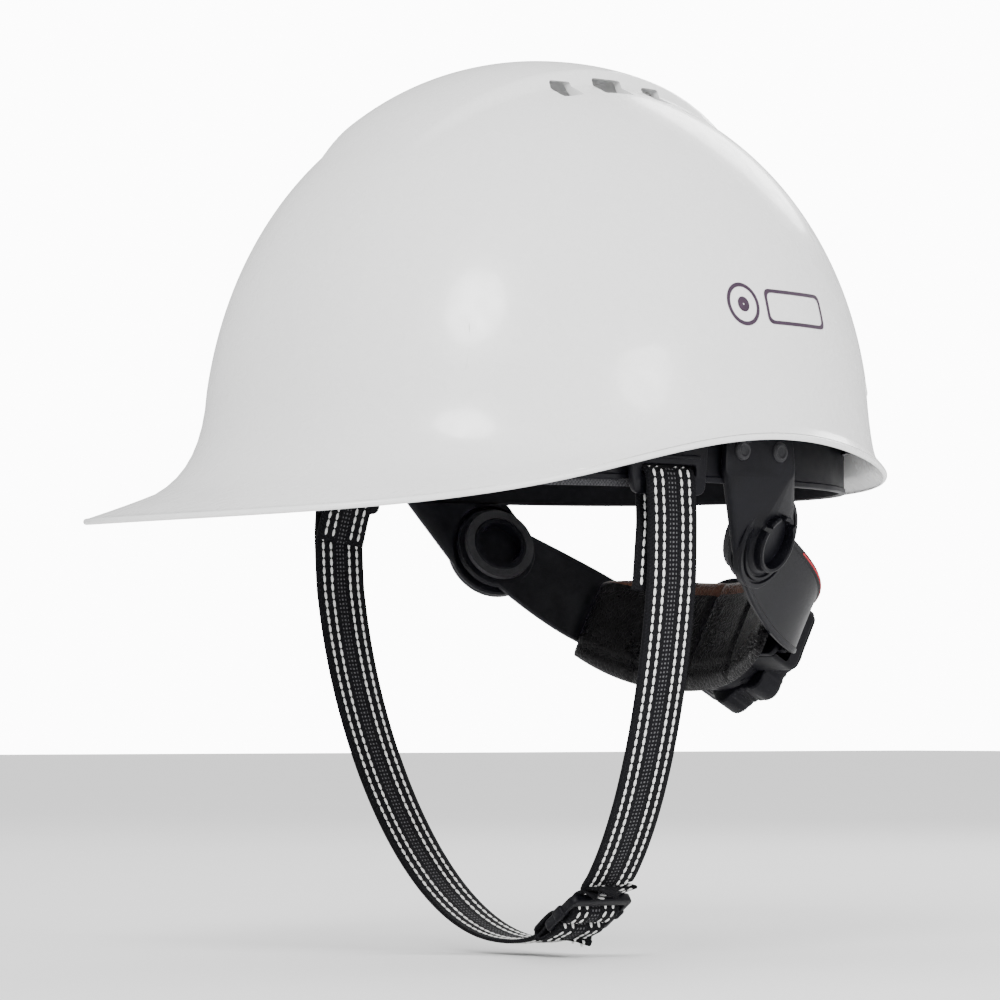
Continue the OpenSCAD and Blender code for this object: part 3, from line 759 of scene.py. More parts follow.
def key_sockets():
    """Blocks inside the wall that the cradle's keys plug into, with a lead-in chamfer."""
    made = []
    for t in KEY_ANGLES:
        turn = Matrix.Translation((0, DOME_Y, 0)) @ Matrix.Rotation(math.radians(t), 4, "Z")
        rings = []
        for z, shrink in ((SOCKET_Z[0], 0.8), (SOCKET_Z[0] + 1, 0), (SOCKET_Z[1] - 1, 0), (SOCKET_Z[1], 0.8)):
            wall = (dome_at(t, z, SHELL_WALL) - around(t, 0, z)).length + 0.9
            near = key_r(t) - 0.9 + shrink
            half = SOCKET_HALF_W - shrink
            rings.append([turn @ Vector((x, -r, z)) for x, r in
                          ((-half, wall), (half, wall), (half, near + 1), (half - 1, near),
                           (1 - half, near), (-half, near + 1))])
        made.append(ring_piece("socket", rings))
        for x in (-8, 8):
            wall = (dome_at(t, RIB_TOP_Z, SHELL_WALL) - around(t, 0, RIB_TOP_Z)).length + 0.9
            ends = ((SOCKET_Z[1] - 1, wall + 1, key_r(t) + 1), (RIB_TOP_Z, wall, wall - 1))
            rib = [[turn @ Vector((x + dx, -r, z)) for dx, r in ((-0.8, far), (0.8, far), (0.6, near), (-0.6, near))]
                   for z, far, near in ends]
            made.append(ring_piece("rib", rib))
    return made


def shell(finishes):
    count = SHELL_SIDES
    lines = [shell_profile(j * 360 / count) for j in range(count)]
    points = [p for row in zip(*lines) for p in row]
    rows = len(lines[0])
    faces = ring_faces(count, rows, closed=False)
    top, inside = len(points), len(points) + 1
    points += [Vector((0, DOME_Y, CROWN_Z + ridge_lift(0, DOME_Y))),
               Vector((0, DOME_Y, CROWN_Z - SHELL_WALL + ridge_lift(0, DOME_Y)))]
    faces += [(top, j, (j + 1) % count) for j in range(count)]
    faces += [(inside, (rows - 1) * count + (j + 1) % count, (rows - 1) * count + j) for j in range(count)]
    skin = mesh_piece("shell_skin", points, faces, 45)
    cut(skin, vent_cutter())
    whole = join("helmet_shell", [skin, *key_sockets()], 38)
    dress(whole, finishes["shell"], "helmet", ["shell"])


MARK_ANGLE = 102
MARK_Z = 52.5
MARK_LIFT = 0.12
RING_R = 6.8
RING_U = -16


def on_shell(u, v):
    """A point of the printed mark: u along the shell to the rear and v up, from the mark's middle."""
    z = MARK_Z + v
    r = (dome_at(MARK_ANGLE, z) - around(0, 0, z)).length
    t = MARK_ANGLE + math.degrees(u / r)
    p = dome_at(t, z)
    lean = dome_at(t, z + 1) - p
    flat = around(t + 1, 1, 0) - around(t, 1, 0)
    return p + flat.cross(lean).normalized() * MARK_LIFT


def printed_mark(finishes):
    """A generic printed mark: a ring with a dot, and an empty label frame."""
    faces, points = [], []

    def band(outer, inner):
        start = len(points)
        count = len(outer)
        points.extend(on_shell(*p) for p in [*outer, *inner])
        faces.extend((start + j, start + (j + 1) % count, start + count + (j + 1) % count, start + count + j)
                     for j in range(count))

    band(circle(RING_R, RING_U, 0, 48), circle(RING_R - 1.3, RING_U, 0, 48))
    band(circle(2.4, RING_U, 0, 24), circle(0.3, RING_U, 0, 24))
    outline = finer(rounded_outline([(-6, -5.6), (24, -5.6), (24, 5.6), (-6, 5.6)], 2.6), 1.5)
    band(outline, [(9 + (x - 9) * 13.8 / 15, y * 4.4 / 5.6) for x, y in outline])
    mark = mesh_piece("printed_mark", points, faces)
    dress(mark, finishes["ink"], "helmet")


def finer(outline, step):
    """The outline with extra points on its long sides."""
    made = []
    for a, b in zip(outline, outline[1:] + outline[:1]):
        count = max(1, round(math.dist(a, b) / step))
        made += [(a[0] + (b[0] - a[0]) * k / count, a[1] + (b[1] - a[1]) * k / count) for k in range(count)]
    return made


# ---------------------------------------------------------------- headband, cradle and sweatband

BAND_LOW, BAND_HIGH = box_mm("headband")
BAND_HALF_W = BAND_HIGH.x
BAND_HALF_L = (BAND_HIGH.y - BAND_LOW.y) / 2
BAND_Y = (BAND_HIGH.y + BAND_LOW.y) / 2
BAND_T = 2
BAND_POWER = 2.3


def band_point(t, d, z=0):
    r = plan_r(BAND_HALF_W + d, BAND_HALF_L + d, BAND_POWER, t)
    return Vector((r * sin(t), BAND_Y - r * cos(t), z))


def headband(finishes):
    """The band: rounded edges, and a shallow bead along each edge on the outside."""
    low, high = BAND_LOW.z, BAND_HIGH.z
    profile = [(-BAND_T + 0.5, low), (-0.5, low), (-0.1, low + 0.4), (0, low + 1.6), (-0.45, low + 2.1),
               (-0.45, high - 2.1), (0, high - 1.6), (-0.1, high - 0.4), (-0.5, high), (-BAND_T + 0.5, high),
               (-BAND_T, high - 0.5), (-BAND_T, low + 0.5)]
    sides = 240
    rings = [[band_point(j * 360 / sides, d, z) for j in range(sides)] for d, z in [*profile, profile[0]]]
    band = weld(ring_piece("headband_strip", rings, 30, closed=False), 30)
    dress(band, finishes["black"], "helmet", ["headband"])


SWEAT_ANGLE = 78
SWEAT_T = 3.2


def sweatband(finishes):
    """Foam strip behind the forehead, folded over in cloth, with a stitched seam near its lower edge."""
    low, high = BAND_LOW.z - 2, BAND_HIGH.z + 2
    mid, half = (low + high) / 2, (high - low) / 2
    angles = spread(-SWEAT_ANGLE, SWEAT_ANGLE, 160)

    def section(i):
        fade = math.sqrt(max(0.05, 1 - (abs(angles[i]) / (SWEAT_ANGLE + 0.5)) ** 24))
        points = []
        for k in range(25):
            v = -half + 2 * half * k / 24
            seam = 0.8 * math.exp(-((v + half - 6) / 0.8) ** 2)
            puff = (SWEAT_T - seam) * (1 - abs(v / half) ** 8) ** 0.5 * fade
            ripple = 0.12 * sin(v * 40 + angles[i] * 21)
            points.append((v, 0.15 + max(0.2, puff + ripple)))
        return points + [(v, 0.1) for v in spread(half - 0.3, -half + 0.3, 12)]

    places = []
    for t in angles:
        inward = (band_point(t, -3) - band_point(t, 0)).normalized()
        places.append((band_point(t, -BAND_T, mid), Vector((0, 0, 1)), inward))
    cloth = strip_piece("forehead_sweatband", places, section, 50)
    dress(cloth, finishes["knit"], "helmet", ["sweatband"])


STRAP_TOP_Z = 101
CROWN_WEB_W = 18
CROWN_WEB_T = 1.2
STRAP_START_Z = 28.2
CROWN_STRAPS = {"crown_strap_front": (32, 214, 0), "crown_strap_middle": (90, 270, 4),
                "crown_strap_rear": (146, 328, 2)}


def crown_strap(node, finishes):
    """Cradle webbing from key to key over the head, with a row of stitches along each edge."""
    t0, t1, lift = CROWN_STRAPS[node]
    reach = 1 + CROWN_WEB_T / 2 + 0.05
    start, end = (around(t, key_r(t) - reach, STRAP_START_Z) for t in (t0, t1))
    half = (end - start) / 2
    path = []
    for a in spread(0, 180, 150):
        rise = (STRAP_TOP_Z + lift - STRAP_START_Z) * sin(a) ** 0.72
        path.append((start + end) / 2 - half * cos(a) + Vector((0, 0, rise)))
    side = Vector((0, 0, 1)).cross(end - start).normalized()
    places = stations(path, lambda i: side)
    section = flat_section(CROWN_WEB_W, CROWN_WEB_T)
    web = strip_piece(node + "_webbing", places, lambda i: section)
    dress(web, finishes["grey_web"], "helmet", [node])
    thread = stitches(node + "_stitches", places, CROWN_WEB_T, [-6.5, 6.5], pitch=3.2)
    dress(thread, finishes["thread"], "helmet")
    length = run_lengths(path)[-1]


# ---------------------------------------------------------------- side plates and bosses

BOSS = Vector((69.5, 33, -19.5))
BOSS_TURN = 17
BOSS_DIP = 20
PLATE_T = 2.6
FLANGE_R = 16
HOLE_R = 7.9
BOSS_WALL = 1.7
BOSS_LEN = 4.5
HOLE_DEPTH = 8.6
SPIGOT_R = 9.4
SPIGOT_LEN = 6.6
EYE_R = 14.2
EYE_CLEAR = 0.5
ARM_GAP = 1
ARM_T = 2.2
WING_ANGLE = 102
RIVET_ANGLES = (96, 108)
ARM_SWEEP = 1.4
EYE_ROOM = 9
ARM_FALL = 32
ARM_ROOM = 31
WING_W = 32
MIRROR = {LEFT: Matrix(), RIGHT: Matrix.Scale(-1, 4, Vector((1, 0, 0)))}


def boss_frame(side):
    return (MIRROR[side] @ Matrix.Translation(BOSS) @ Matrix.Rotation(math.radians(BOSS_TURN), 4, "Z")
            @ Matrix.Rotation(math.radians(BOSS_DIP), 4, "Y"))


def boss_lathe(side):
    """Stepped flange, open tube with three snap notches, and the spigot behind the plate."""
    tube = HOLE_R + BOSS_WALL
    bottom = BOSS_LEN - HOLE_DEPTH
    profile = [(bottom - 1.4, 0.05), (bottom - 1.4, SPIGOT_R - 2.2), (-PLATE_T - SPIGOT_LEN, SPIGOT_R - 2),
               (-PLATE_T - SPIGOT_LEN, SPIGOT_R - 0.5), (-PLATE_T - SPIGOT_LEN + 0.5, SPIGOT_R),
               (-PLATE_T, SPIGOT_R), (-PLATE_T, FLANGE_R - 0.6), (-PLATE_T + 0.5, FLANGE_R), (0.3, FLANGE_R),
               (0.8, FLANGE_R - 0.5), (0.8, FLANGE_R - 1.7), (0.1, FLANGE_R - 2), (0.1, FLANGE_R - 2.6),
               (0.9, FLANGE_R - 2.9), (0.9, FLANGE_R - 3.9), (0.2, FLANGE_R - 4.2), (0.2, FLANGE_R - 4.7),
               (0.9, tube + 0.9), (1.2, tube + 0.2), (1.5, tube)]
    rim = [(BOSS_LEN - 0.6, tube), (BOSS_LEN - 0.1, tube - 0.3), (BOSS_LEN, tube - 0.7),
           (BOSS_LEN - 0.2, HOLE_R + 0.2), (BOSS_LEN - 0.9, HOLE_R)]
    hole = [(BOSS_LEN - 3, HOLE_R), (bottom + 0.5, HOLE_R), (bottom, HOLE_R - 0.4), (bottom, 4.2),
            (bottom + 1.2, 3.8), (bottom + 1.2, 2.2), (bottom + 0.2, 1.8), (bottom + 0.2, 0.05)]
    segments = 192

    def notch(j):
        return min(abs((j * 360 / segments - a + 180) % 360 - 180) for a in (52, 100, 148)) < 7

    rings = []
    for x, r, on_rim in ([(*p, False) for p in profile] + [(*p, True) for p in rim] + [(*p, False) for p in hole]):
        rings.append([(x - (2.3 if on_rim and notch(j) else 0), r * cos(j * 360 / segments),
                       r * sin(j * 360 / segments)) for j in range(segments)])
    return ring_piece("boss", moved(rings, boss_frame(side)), 30)


def hull(name, points):
    work = bmesh.new()
    for p in points:
        work.verts.new(p)
    made = bmesh.ops.convex_hull(work, input=work.verts)
    loose = {v for v in made["geom_interior"] + made["geom_unused"] if isinstance(v, bmesh.types.BMVert)}
    bmesh.ops.delete(work, geom=list(loose), context="VERTS")
    work.verts.index_update()
    corners = [v.co.copy() for v in work.verts]
    faces = [[v.index for v in face.verts] for face in work.faces]
    work.free()
    return mesh_piece(name, corners, faces, 25)


def on_band(side, t, lift, z):
    """Frame at angle t of the headband, lift outside it at height z, with X outward as at the wing."""
    p = band_point(t, lift, z)
    return MIRROR[side] @ Matrix.Translation(p) @ Matrix.Rotation(math.radians(WING_ANGLE - 99), 4, "Z")


def wing(side):
    """The plate's upper part, from the headband in to the boss, with rounded edges."""
    turn = on_band(side, WING_ANGLE, 0.15, 0)
    half = WING_W / 2
    corners = [(-half, -1), (half, -1), (half - 1, 13), (half - 5, 17), (5 - half, 17), (1 - half, 13)]
    points = []
    for depth, inset in ((0, 0.6), (0.6, 0), (PLATE_T - 0.7, 0), (PLATE_T - 0.2, 0.25), (PLATE_T, 0.8)):
        outline = rounded_outline(corners, 4)
        middle = Vector((0, 9))
        for q in outline:
            q = Vector(q)
            q = q - (q - middle).normalized() * inset
            points.append(turn @ Vector((depth, q.x, q.y)))
    for depth, inset in ((-PLATE_T, 0.9), (-PLATE_T + 0.6, 0.5), (-0.9, 0.5), (-0.3, 1.1)):
        r = FLANGE_R - inset
        points += [boss_frame(side) @ Vector((depth, r * cos(a), r * sin(a))) for a in range(0, 360, 5)]
    piece = hull("wing", points)
    angles = [j * 5 for j in range(72)]
    cut(piece, ring_piece("band_room", [[band_point(t, 0.06, z) for t in angles]
                                        for z in (BAND_LOW.z - 0.1, BAND_HIGH.z + 10)]))
    back = 0.05 - PLATE_T
    disc = lathe([(back - EYE_ROOM, EYE_R + ARM_SWEEP), (back, EYE_R + ARM_SWEEP)], 96)
    cut(piece, ring_piece("eye_room", moved(disc, boss_frame(side))))
    fall = boss_frame(side) @ Matrix.Rotation(math.radians(-ARM_FALL), 4, "X")
    cut(piece, soft_box("arm_room", (back - EYE_ROOM, 0, -ARM_ROOM / 2), (back, ARM_ROOM, ARM_ROOM / 2), 0.3, fall))
    return piece


def rivet(side, angle):
    profile = [(-1.5, 0.05), (-1.5, 1.6), (2.6, 1.6), (2.6, 3.2), (3.4, 3.2), (3.9, 2.8), (4.1, 2.1), (3.7, 1.5),
               (3.7, 0.05)]
    return ring_piece("rivet", moved(lathe(profile, 40), on_band(side, angle, 0, 8)), 30)


def side_plate(side, finishes):
    name = "side_plate_" + SIDE_NAME[side]
    piece = join(name + "_moulding", [wing(side), boss_lathe(side)], 28)
    dress(piece, finishes["black"], "helmet", [name])


def plate_rivets(finishes):
    heads = join("rivet_heads", [rivet(side, angle) for side in (LEFT, RIGHT) for angle in RIVET_ANGLES], 30)
    dress(heads, finishes["grey"], "helmet", ["plate_rivets"])


# ---------------------------------------------------------------- webbing anchors

ANCHOR = Vector((80.3, -20, 0))
ANCHOR_TURN = 4
ANCHOR_T = 2.2


def anchor_frame(side):
    """Anchor's plane: X along +Y, Y up, Z outward."""
    turn = Matrix(((0, 0, 1, 0), (1, 0, 0, 0), (0, 1, 0, 0), (0, 0, 0, 1)))
    return (MIRROR[side] @ Matrix.Translation(ANCHOR) @ Matrix.Rotation(math.radians(-ANCHOR_TURN), 4, "Z") @ turn)


def strap_anchor(side, finishes):
    name = "strap_anchor_" + SIDE_NAME[side]
    outline = rounded_outline([(-14, -7), (14, -7), (16, 16), (-16, 16)], 3.4)
    slot = rounded_outline([(-10.5, -1), (10.5, -1), (10.5, 2.4), (-10.5, 2.4)], 0.9)
    matrix = anchor_frame(side)
    body = plate("anchor", [outline, slot], ANCHOR_T, 0.55, matrix)
    rib = soft_box("rib", (-12, 4.2, ANCHOR_T - 0.4), (12, 5.6, ANCHOR_T + 0.5), 0.4, matrix)
    hooks = [soft_box("hook", (x - 2.5, 8, -1.5), (x + 2.5, 13, 0.4), 0.4, matrix) for x in (-9, 9)]
    studs = [soft_box("stud", (x - 2.2, 8.2, ANCHOR_T - 0.4), (x + 2.2, 12.6, ANCHOR_T + 0.6), 0.5, matrix)
             for x in (-9, 9)]
    piece = join(name + "_moulding", [body, rib, *hooks, *studs], 30)
    dress(piece, finishes["black"], "helmet", [name])


# ---------------------------------------------------------------- nape band

NAPE = Vector((0, 76, -46.5))
NAPE_DIP = 28
ARM_H = 24
ARM_END_X = 27
ARM_END_H = 17
ARM_SWELL = 6


def nape_frame():
    return Matrix.Translation(NAPE) @ Matrix.Rotation(math.radians(-NAPE_DIP), 4, "X")


def nape_plane():
    """Nape's plane: X to the left, Y up the pad, Z out of the back."""
    turn = Matrix(((-1, 0, 0, 0), (0, 0, 1, 0), (0, 1, 0, 0), (0, 0, 0, 1)))
    return nape_frame() @ turn


NAPE_OUT = Vector((0, cos(NAPE_DIP), -sin(NAPE_DIP)))
NAPE_UP = Vector((0, sin(NAPE_DIP), cos(NAPE_DIP)))
BOSS_OUT = Vector((cos(BOSS_TURN) * cos(BOSS_DIP), sin(BOSS_TURN) * cos(BOSS_DIP), -sin(BOSS_DIP)))
BOSS_UP = Vector((sin(BOSS_DIP) * cos(BOSS_TURN), sin(BOSS_DIP) * sin(BOSS_TURN), cos(BOSS_DIP)))


def nape_point(x, y, z):
    return Vector((x, 0, 0)) + Vector((0, NAPE.y, NAPE.z)) + NAPE_OUT * y + NAPE_UP * z


def arm_point(s):
    along = Vector((0, 0, 1)).cross(BOSS_OUT).normalized()
    start = BOSS - BOSS_OUT * (PLATE_T + ARM_GAP + ARM_T / 2) + along * 5 - BOSS_UP * 4
    end = nape_point(ARM_END_X + 8, 0, 0)
    near = start + along * 19 - BOSS_UP * 14
    far = end + Vector((15, 0, 0)) + NAPE_UP * 1.5
    return (start * (1 - s) ** 3 + near * 3 * s * (1 - s) ** 2 + far * 3 * s * s * (1 - s) + end * s ** 3)


def arm_station(s):
    tangent = (arm_point(min(1, s + 0.02)) - arm_point(max(0, s - 0.02))).normalized()
    twist = smoothstep((s - 0.22) / 0.78)
    out = (BOSS_OUT * (1 - twist) + NAPE_OUT * twist).normalized()
    across = out.cross(tangent).normalized()
    return arm_point(s), across, tangent.cross(across)


def arm_width(s):
    return ARM_H + (ARM_END_H - ARM_H) * s * s + ARM_SWELL * sin(180 * s)


def nape_arm(side, finishes):
    """Curved arm with a thickened edge, an eye on the boss, and a red size line along its outer face."""
    name = "nape_arm_" + SIDE_NAME[side]
    shares = spread(0, 1, 60)
    places = [tuple(MIRROR[side] @ v for v in arm_station(s)) for s in shares]

    def section(i):
        half = arm_width(shares[i]) / 2
        t = ARM_T / 2
        upper = [(-half + 0.3, t - 0.5), (-half + 0.8, t), (-half + 2, t), (-half + 2.6, t - 0.45),
                 (0, t - 0.45), (half - 2.6, t - 0.45), (half - 2, t), (half - 0.8, t), (half - 0.3, t - 0.5)]
        return upper + [(half - 0.3, 0.5 - t), (half - 0.8, -t), (0, -t), (0.8 - half, -t), (0.3 - half, 0.5 - t)]

    arm = strip_piece("arm", places, section, 30)
    x0 = -PLATE_T - ARM_GAP
    bore = lathe([(-12, SPIGOT_R + EYE_CLEAR), (2, SPIGOT_R + EYE_CLEAR)], 96)
    cut(arm, ring_piece("bore", moved(bore, boss_frame(side))))
    ring_profile = [(x0 - ARM_T, SPIGOT_R + EYE_CLEAR + 0.3), (x0 - ARM_T, EYE_R - 0.6), (x0 - ARM_T + 0.5, EYE_R),
                    (x0 - 0.5, EYE_R), (x0, EYE_R - 0.6), (x0, SPIGOT_R + EYE_CLEAR + 0.3),
                    (x0 - 0.3, SPIGOT_R + EYE_CLEAR), (x0 - ARM_T + 0.3, SPIGOT_R + EYE_CLEAR),
                    (x0 - ARM_T, SPIGOT_R + EYE_CLEAR + 0.3)]
    eye = weld(ring_piece("eye", moved(lathe(ring_profile, 96), boss_frame(side)), 30, closed=False))
    tongue = soft_box("tongue", (ARM_END_X, -ARM_T / 2, -ARM_END_H / 2), (ARM_END_X + 8.2, ARM_T / 2, ARM_END_H / 2),
                      0.4, MIRROR[side] @ nape_frame())
    piece = join(name + "_moulding", [arm, eye, tongue], 30)
    dress(piece, finishes["arm"], "nape", [name])

    line_shares = spread(0.3, 0.86, 40)
    line_places = []
    for s in line_shares:
        centre, across, out = arm_station(s)
        outward = out if out.dot(BOSS_OUT) > 0 else -out
        up = across if across.z > 0 else -across
        centre = centre + up * (arm_width(s) / 2 - 1.4) + outward * (ARM_T / 2 + 0.02)
        line_places.append(tuple(MIRROR[side] @ v for v in (centre, up, outward)))
    line_section = flat_section(0.6, 0.4, 6)
    line = strip_piece(name + "_line", line_places, lambda i: line_section)
    dress(line, finishes["red"], "nape")


PAD_HALF_W = 47
PAD_H = 42
PAD_T = 5
PAD_DROP = 4.5
PAD_BACK = -ARM_T / 2 - 2.4


def nape_pad(finishes):
    """Padded lining of the nape: four quilted fields between sewn channels, with a rolled edge."""
    places, halves = [], []
    for x in spread(-PAD_HALF_W, PAD_HALF_W, 96):
        halves.append((PAD_H * (1 - 0.3 * (abs(x) / PAD_HALF_W) ** 3) - 1) / 2)
        places.append((nape_point(x, PAD_BACK - x * x / 150, -PAD_DROP), NAPE_UP, -NAPE_OUT))

    def section(i):
        x = places[i][0].x
        end = max(0.04, 1 - (abs(x) / PAD_HALF_W) ** 14) ** 0.5
        channel = sum(math.exp(-((x - seam) / 1.3) ** 2) for seam in (-24, 0, 24))
        half = halves[i]
        front = []
        for k in range(29):
            v = -half * cos(180 * k / 28)
            crown = max(0, 1 - abs(v / half) ** 5) ** 0.5
            rows = math.exp(-((abs(v) - half * 0.72) / 1.1) ** 2)
            puff = PAD_T * crown - 1.3 * channel * crown - 0.9 * rows
            front.append((v, max(0.15, puff) * end))
        return front + [(v, 0) for v in spread(half - 0.4, 0.4 - half, 10)]

    pad = strip_piece("nape_pad_lining", places, section, 50)
    dress(pad, finishes["pad"], "nape", ["nape_pad"])


HOUSE_W = 68
HOUSE_END_H = 22
HOUSE_R = 18.5
HOUSE_DEPTH = 11
RACK_ROOM = 20
BASE_Y = PAD_BACK
COVER_Y0 = BASE_Y + 2
SCREWS = [(x, z) for x in (-9.5, 9.5) for z in (-12.6, 12.6)]
SCREW_HEAD_R = 2.1


def house_outline(grow=0):
    """Bar with rounded corners, swelling to a disc in the middle."""
    half_w, half_h, r = HOUSE_W / 2 + grow, HOUSE_END_H / 2 + grow, HOUSE_R + grow
    reach = math.degrees(math.asin(half_h / r))
    arc = [(r * cos(a), r * sin(a)) for a in spread(reach, 180 - reach, 30)]
    end = [(half_w - 3 + 3 * cos(a), half_h - 3 + 3 * sin(a)) for a in spread(0, 90, 6)]
    upper = end + arc + [(-x, y) for x, y in reversed(end)]
    return upper + [(-x, -y) for x, y in upper]


def ratchet_housing(finishes):
    plane = nape_plane()
    base = plate("ratchet_base_plate", [house_outline()], 2, 0.4, plane @ Matrix.Translation((0, 0, BASE_Y)))
    dress(base, finishes["black"], "nape", ["ratchet_base"])
    holes = [circle(SCREW_HEAD_R + 0.15, x, z) for x, z in SCREWS]
    wall = plate("cover", [house_outline()], HOUSE_DEPTH - 1.6, 0.4, plane @ Matrix.Translation((0, 0, COVER_Y0)))
    channel = soft_box("channel", (-HOUSE_W / 2 - 1, -RACK_ROOM / 2, COVER_Y0 - 1),
                       (HOUSE_W / 2 + 1, RACK_ROOM / 2, COVER_Y0 + 5.4), 0.3, plane)
    cut(wall, channel)
    lid = plate("lid", [house_outline(-0.6), circle(3.3), *holes], 2.2, 0.7,
                plane @ Matrix.Translation((0, 0, COVER_Y0 + HOUSE_DEPTH - 2.2)))
    ribs = [soft_box("rib", (side * (27 + 2.4 * k) - 0.6, -8, COVER_Y0 + HOUSE_DEPTH - 0.5),
                     (side * (27 + 2.4 * k) + 0.6, 8, COVER_Y0 + HOUSE_DEPTH + 0.5), 0.35, plane)
            for side in (LEFT, RIGHT) for k in range(3)]
    cover = join("ratchet_cover_moulding", [wall, lid, *ribs], 30)
    dress(cover, finishes["black"], "nape", ["ratchet_cover"])


KNOB_R = 21.5
KNOB_Y0 = COVER_Y0 + HOUSE_DEPTH + 0.6
KNOB_LEN = 10
KNOB_LOBES = 8


def knob(finishes):
    """Eight-lobed knob with a chamfered rim, a dished face and grip ribs in each valley."""
    sides = 256

    def lobes(a, inset):
        ribs = 0.25 * cos(KNOB_LOBES * 6 * a) * (0.5 - 0.5 * cos(KNOB_LOBES * a))
        return KNOB_R - 1.6 + 1.6 * cos(KNOB_LOBES * a) + ribs - inset

    def ring(y, inset=0, plain=None):
        return [(r * cos(a), y, r * sin(a)) for a in (j * 360 / sides for j in range(sides))
                for r in [plain if plain is not None else lobes(a, inset)]]

    rings = [ring(0, plain=3.2), ring(0, 1.2), ring(0.3, 0.4), ring(0.9)]
    rings += [ring(KNOB_LEN - down, inset) for down, inset in ((1.8, 0), (0.9, 0.3), (0.3, 0.9), (0, 1.8))]
    rings += [ring(KNOB_LEN - down, plain=r) for down, r in (
        (0, 14.6), (0.3, 14), (1.5, 12.6), (1.7, 6), (0.6, 5.2), (0.4, 4.6), (0.5, 3.6), (2.2, 3.4), (2.4, 1.7))]
    place = nape_frame() @ Matrix.Translation((0, KNOB_Y0, 0))
    disc = ring_piece("disc", moved(rings, place), 30)
    arrows = []
    for side in (LEFT, RIGHT):
        for k in range(5):
            a = 90 * side + (k - 2) * 14
            turn = place @ Matrix.Rotation(math.radians(a), 4, "Y")
            arrows.append(soft_box("dash", (-0.5, KNOB_LEN - 1.9, 7.6), (0.5, KNOB_LEN - 1.2, 11), 0.25, turn))
    piece = join("ratchet_knob_moulding", [disc, *arrows], 30)
    dress(piece, finishes["black"], "ratchet_knob", ["knob"])


# ---------------------------------------------------------------- chin strap

WEB_W = 20
WEB_T = 1.3
LOOP_HALF_W = 82
LOOP_DROP = 147.5
LOOP_POWER = 0.94
LOOP_LEAN = 12
STRAP_TOP_X = 85.3
HINGE_Y, HINGE_Z = -21, -9
BUCKLE_ANGLE = 68


def strap_point(a):
    w = LOOP_HALF_W + (STRAP_TOP_X - LOOP_HALF_W) * abs(cos(a)) ** 6
    return Vector((w * math.copysign(abs(cos(a)) ** LOOP_POWER, cos(a)), HINGE_Y + LOOP_LEAN * sin(a) ** 2,
                   HINGE_Z - (LOOP_DROP + HINGE_Z) * sin(a)))


def buckle_frame():
    """Buckle's frame: X along the strap to the wearer's right, Y to the rear, Z away from the head."""
    run = (strap_point(BUCKLE_ANGLE + 1) - strap_point(BUCKLE_ANGLE - 1))
    turn = -math.atan2(run.z, run.x)
    return Matrix.Translation(strap_point(BUCKLE_ANGLE)) @ Matrix.Rotation(turn, 4, "Y")


TAIL = [(81.2, -3.4, -37), (81.8, -3, -26), (81.6, -2, -17), (80.4, -1, -10), (79.4, -0.3, -5), (79.3, 0, -1.8),
        (80.1, 0, 0.4), (81.6, 0, 0.9), (83.2, 0, 0.1), (84, 0, -2.6), (84.3, 0, -8), (84.7, 0, -15)]
HOOK_LEFT = [(-15, 0.2), (-10.5, -1.4), (-7.4, -2.2), (-5, -1.6), (-3.9, 0), (-2.6, 1.8), (0, 2.2), (2.4, 1.6),
             (3.1, -0.6), (4.6, -3.4), (9, -4.1), (15, -3.9)]
HOOK_RIGHT = [(15, 0.2), (11, 1.2), (7.6, 2), (5.4, 1.3), (4.9, 0), (5.4, -1.3), (7.6, -1.9), (12, -1.3), (17, -1.1)]


def chin_strap(side, finishes):
    """One length of webbing: its tail, the fold through the anchor, the run to the buckle, and the fold there."""
    name = "chin_strap_" + SIDE_NAME[side]
    tail = TAIL if side == LEFT else TAIL[2:]
    path = [Vector((side * x, HINGE_Y + y, z)) for x, y, z in tail]
    end = BUCKLE_ANGLE - 8 if side == LEFT else 180 - BUCKLE_ANGLE - 8
    path += [strap_point(a if side == LEFT else 180 - a) for a in range(9, end + 1, 3)]
    hook = HOOK_LEFT if side == LEFT else HOOK_RIGHT
    path += [buckle_frame() @ Vector((x, 0, z)) for x, z in hook]
    path = smooth_path(path, 1.1)
    places = stations(path, lambda i: Vector((0, 1, 0)))
    section = flat_section(WEB_W, WEB_T)
    web = strip_piece(name + "_webbing", places, lambda i: section)
    thread = stitches(name + "_stitches", places, WEB_T, STITCH_LINES)
    dress(web, finishes["black_web"], None, [name, "strap_loop_" + SIDE_NAME[side]])
    dress(thread, finishes["thread"])
    for piece in (web, thread):
        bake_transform(piece)
    length = run_lengths(path)[-1]


BUCKLE_W = 25
BUCKLE_LEN = 18
BUCKLE_T = 2.9


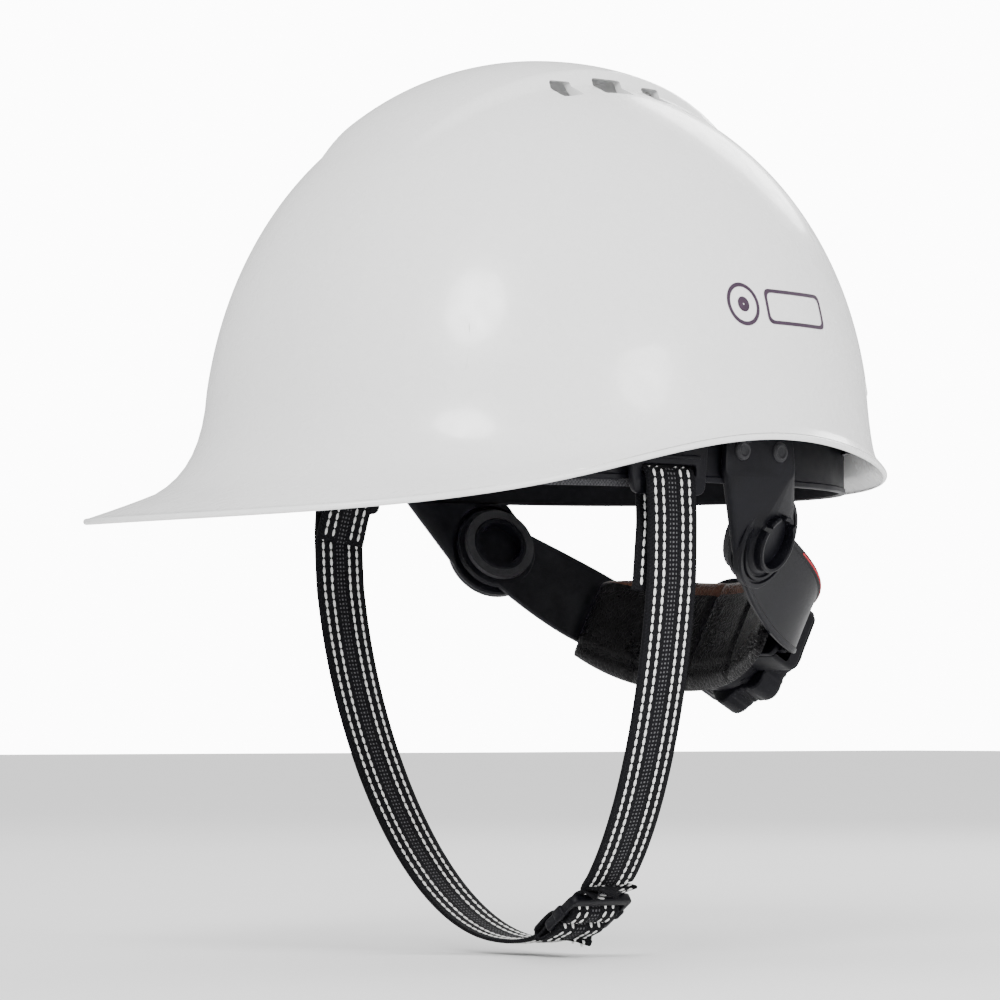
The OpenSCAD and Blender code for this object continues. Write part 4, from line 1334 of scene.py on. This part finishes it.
def buckle(finishes):
    """Ladder lock: a frame with two slots and a centre bar, and a lifting tab with grip ribs."""
    matrix = buckle_frame()
    half_l, half_w = BUCKLE_LEN / 2, BUCKLE_W / 2
    outline = rounded_outline([(-half_l, 1.5 - half_w), (1.5 - half_l, -half_w), (half_l - 1.5, -half_w),
                               (half_l, 1.5 - half_w), (half_l, half_w - 1.5), (half_l - 1.5, half_w),
                               (1.5 - half_l, half_w), (-half_l, half_w - 1.5)], 1)
    slots = [rounded_outline([(x, -WEB_W / 2 - 0.5), (x + 3.4, -WEB_W / 2 - 0.5), (x + 3.4, WEB_W / 2 + 0.5),
                              (x, WEB_W / 2 + 0.5)], 0.5) for x in (-5.6, 2.2)]
    body = plate("ladder", [outline, *slots], BUCKLE_T, 0.6, matrix @ Matrix.Translation((0, 0, -BUCKLE_T / 2)))
    lip = rounded_outline([(-half_l - 5, -6), (1 - half_l, -7.5), (1 - half_l, 7.5), (-half_l - 5, 6)], 1.8)
    tab = plate("tab", [lip], 1.8, 0.5, matrix @ Matrix.Translation((0, 0, -BUCKLE_T / 2 - 0.6)))
    grips = [soft_box("grip", (x - 0.35, -5, -0.2), (x + 0.35, 5, 0.6), 0.25, matrix)
             for x in (-half_l - 3.6, -half_l - 2.2, -half_l - 0.8)]
    ears = [soft_box("ear", (-2.4, y - 1.1, -1.9), (2.4, y + 1.1, 1.9), 0.9, matrix)
            for y in (-half_w + 0.4, half_w - 0.4)]
    piece = join("ladder_lock_buckle", [body, tab, *grips, *ears], 30)
    dress(piece, finishes["black"], "chin_strap", ["buckle"])


# ---------------------------------------------------------------- CAD nodes that show as they are

KEPT_NODES = {"suspension_keys": "grey", "boss_collar_left": "grey", "boss_collar_right": "grey",
              "housing_screws": "steel", "detent_spring": "steel", "rack_left": "grey", "rack_right": "grey",
              "pinion": "grey", "knob_screw": "steel"}


def dress_nodes(finishes):
    for node, finish in KEPT_NODES.items():
        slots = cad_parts[node].material_slots
        for slot in slots:
            slot.material = finishes[finish]


def main():
    finishes = {
        "shell": shell_finish(),
        "black": moulded("black_moulding", (0.0015, 0.0015, 0.0025), (0.006, 0.006, 0.009)),
        "arm": moulded("arm_moulding", (0.004, 0.004, 0.005), (0.013, 0.013, 0.016), 0.28, 0.42),
        "grey": moulded("grey_moulding", (0.02, 0.02, 0.022), (0.04, 0.04, 0.043)),
        "red": moulded("red_moulding", (0.35, 0.02, 0.03), (0.5, 0.04, 0.05)),
        "black_web": woven("black_webbing", (0.0015, 0.0015, 0.002), (0.01, 0.01, 0.012), spots=(0.1, 0.1, 0.105)),
        "grey_web": woven("grey_webbing", (0.16, 0.165, 0.17), (0.36, 0.365, 0.37)),
        "thread": thread_finish(),
        "knit": knit_finish(),
        "pad": pad_finish(),
        "steel": steel_finish(),
        "ink": ink_finish(),
    }
    camera()
    studio()
    shell(finishes)
    printed_mark(finishes)
    headband(finishes)
    sweatband(finishes)
    for node in CROWN_STRAPS:
        crown_strap(node, finishes)
    for side in (LEFT, RIGHT):
        side_plate(side, finishes)
        strap_anchor(side, finishes)
        nape_arm(side, finishes)
        chin_strap(side, finishes)
    plate_rivets(finishes)
    nape_pad(finishes)
    ratchet_housing(finishes)
    knob(finishes)
    buckle(finishes)
    dress_nodes(finishes)


main()
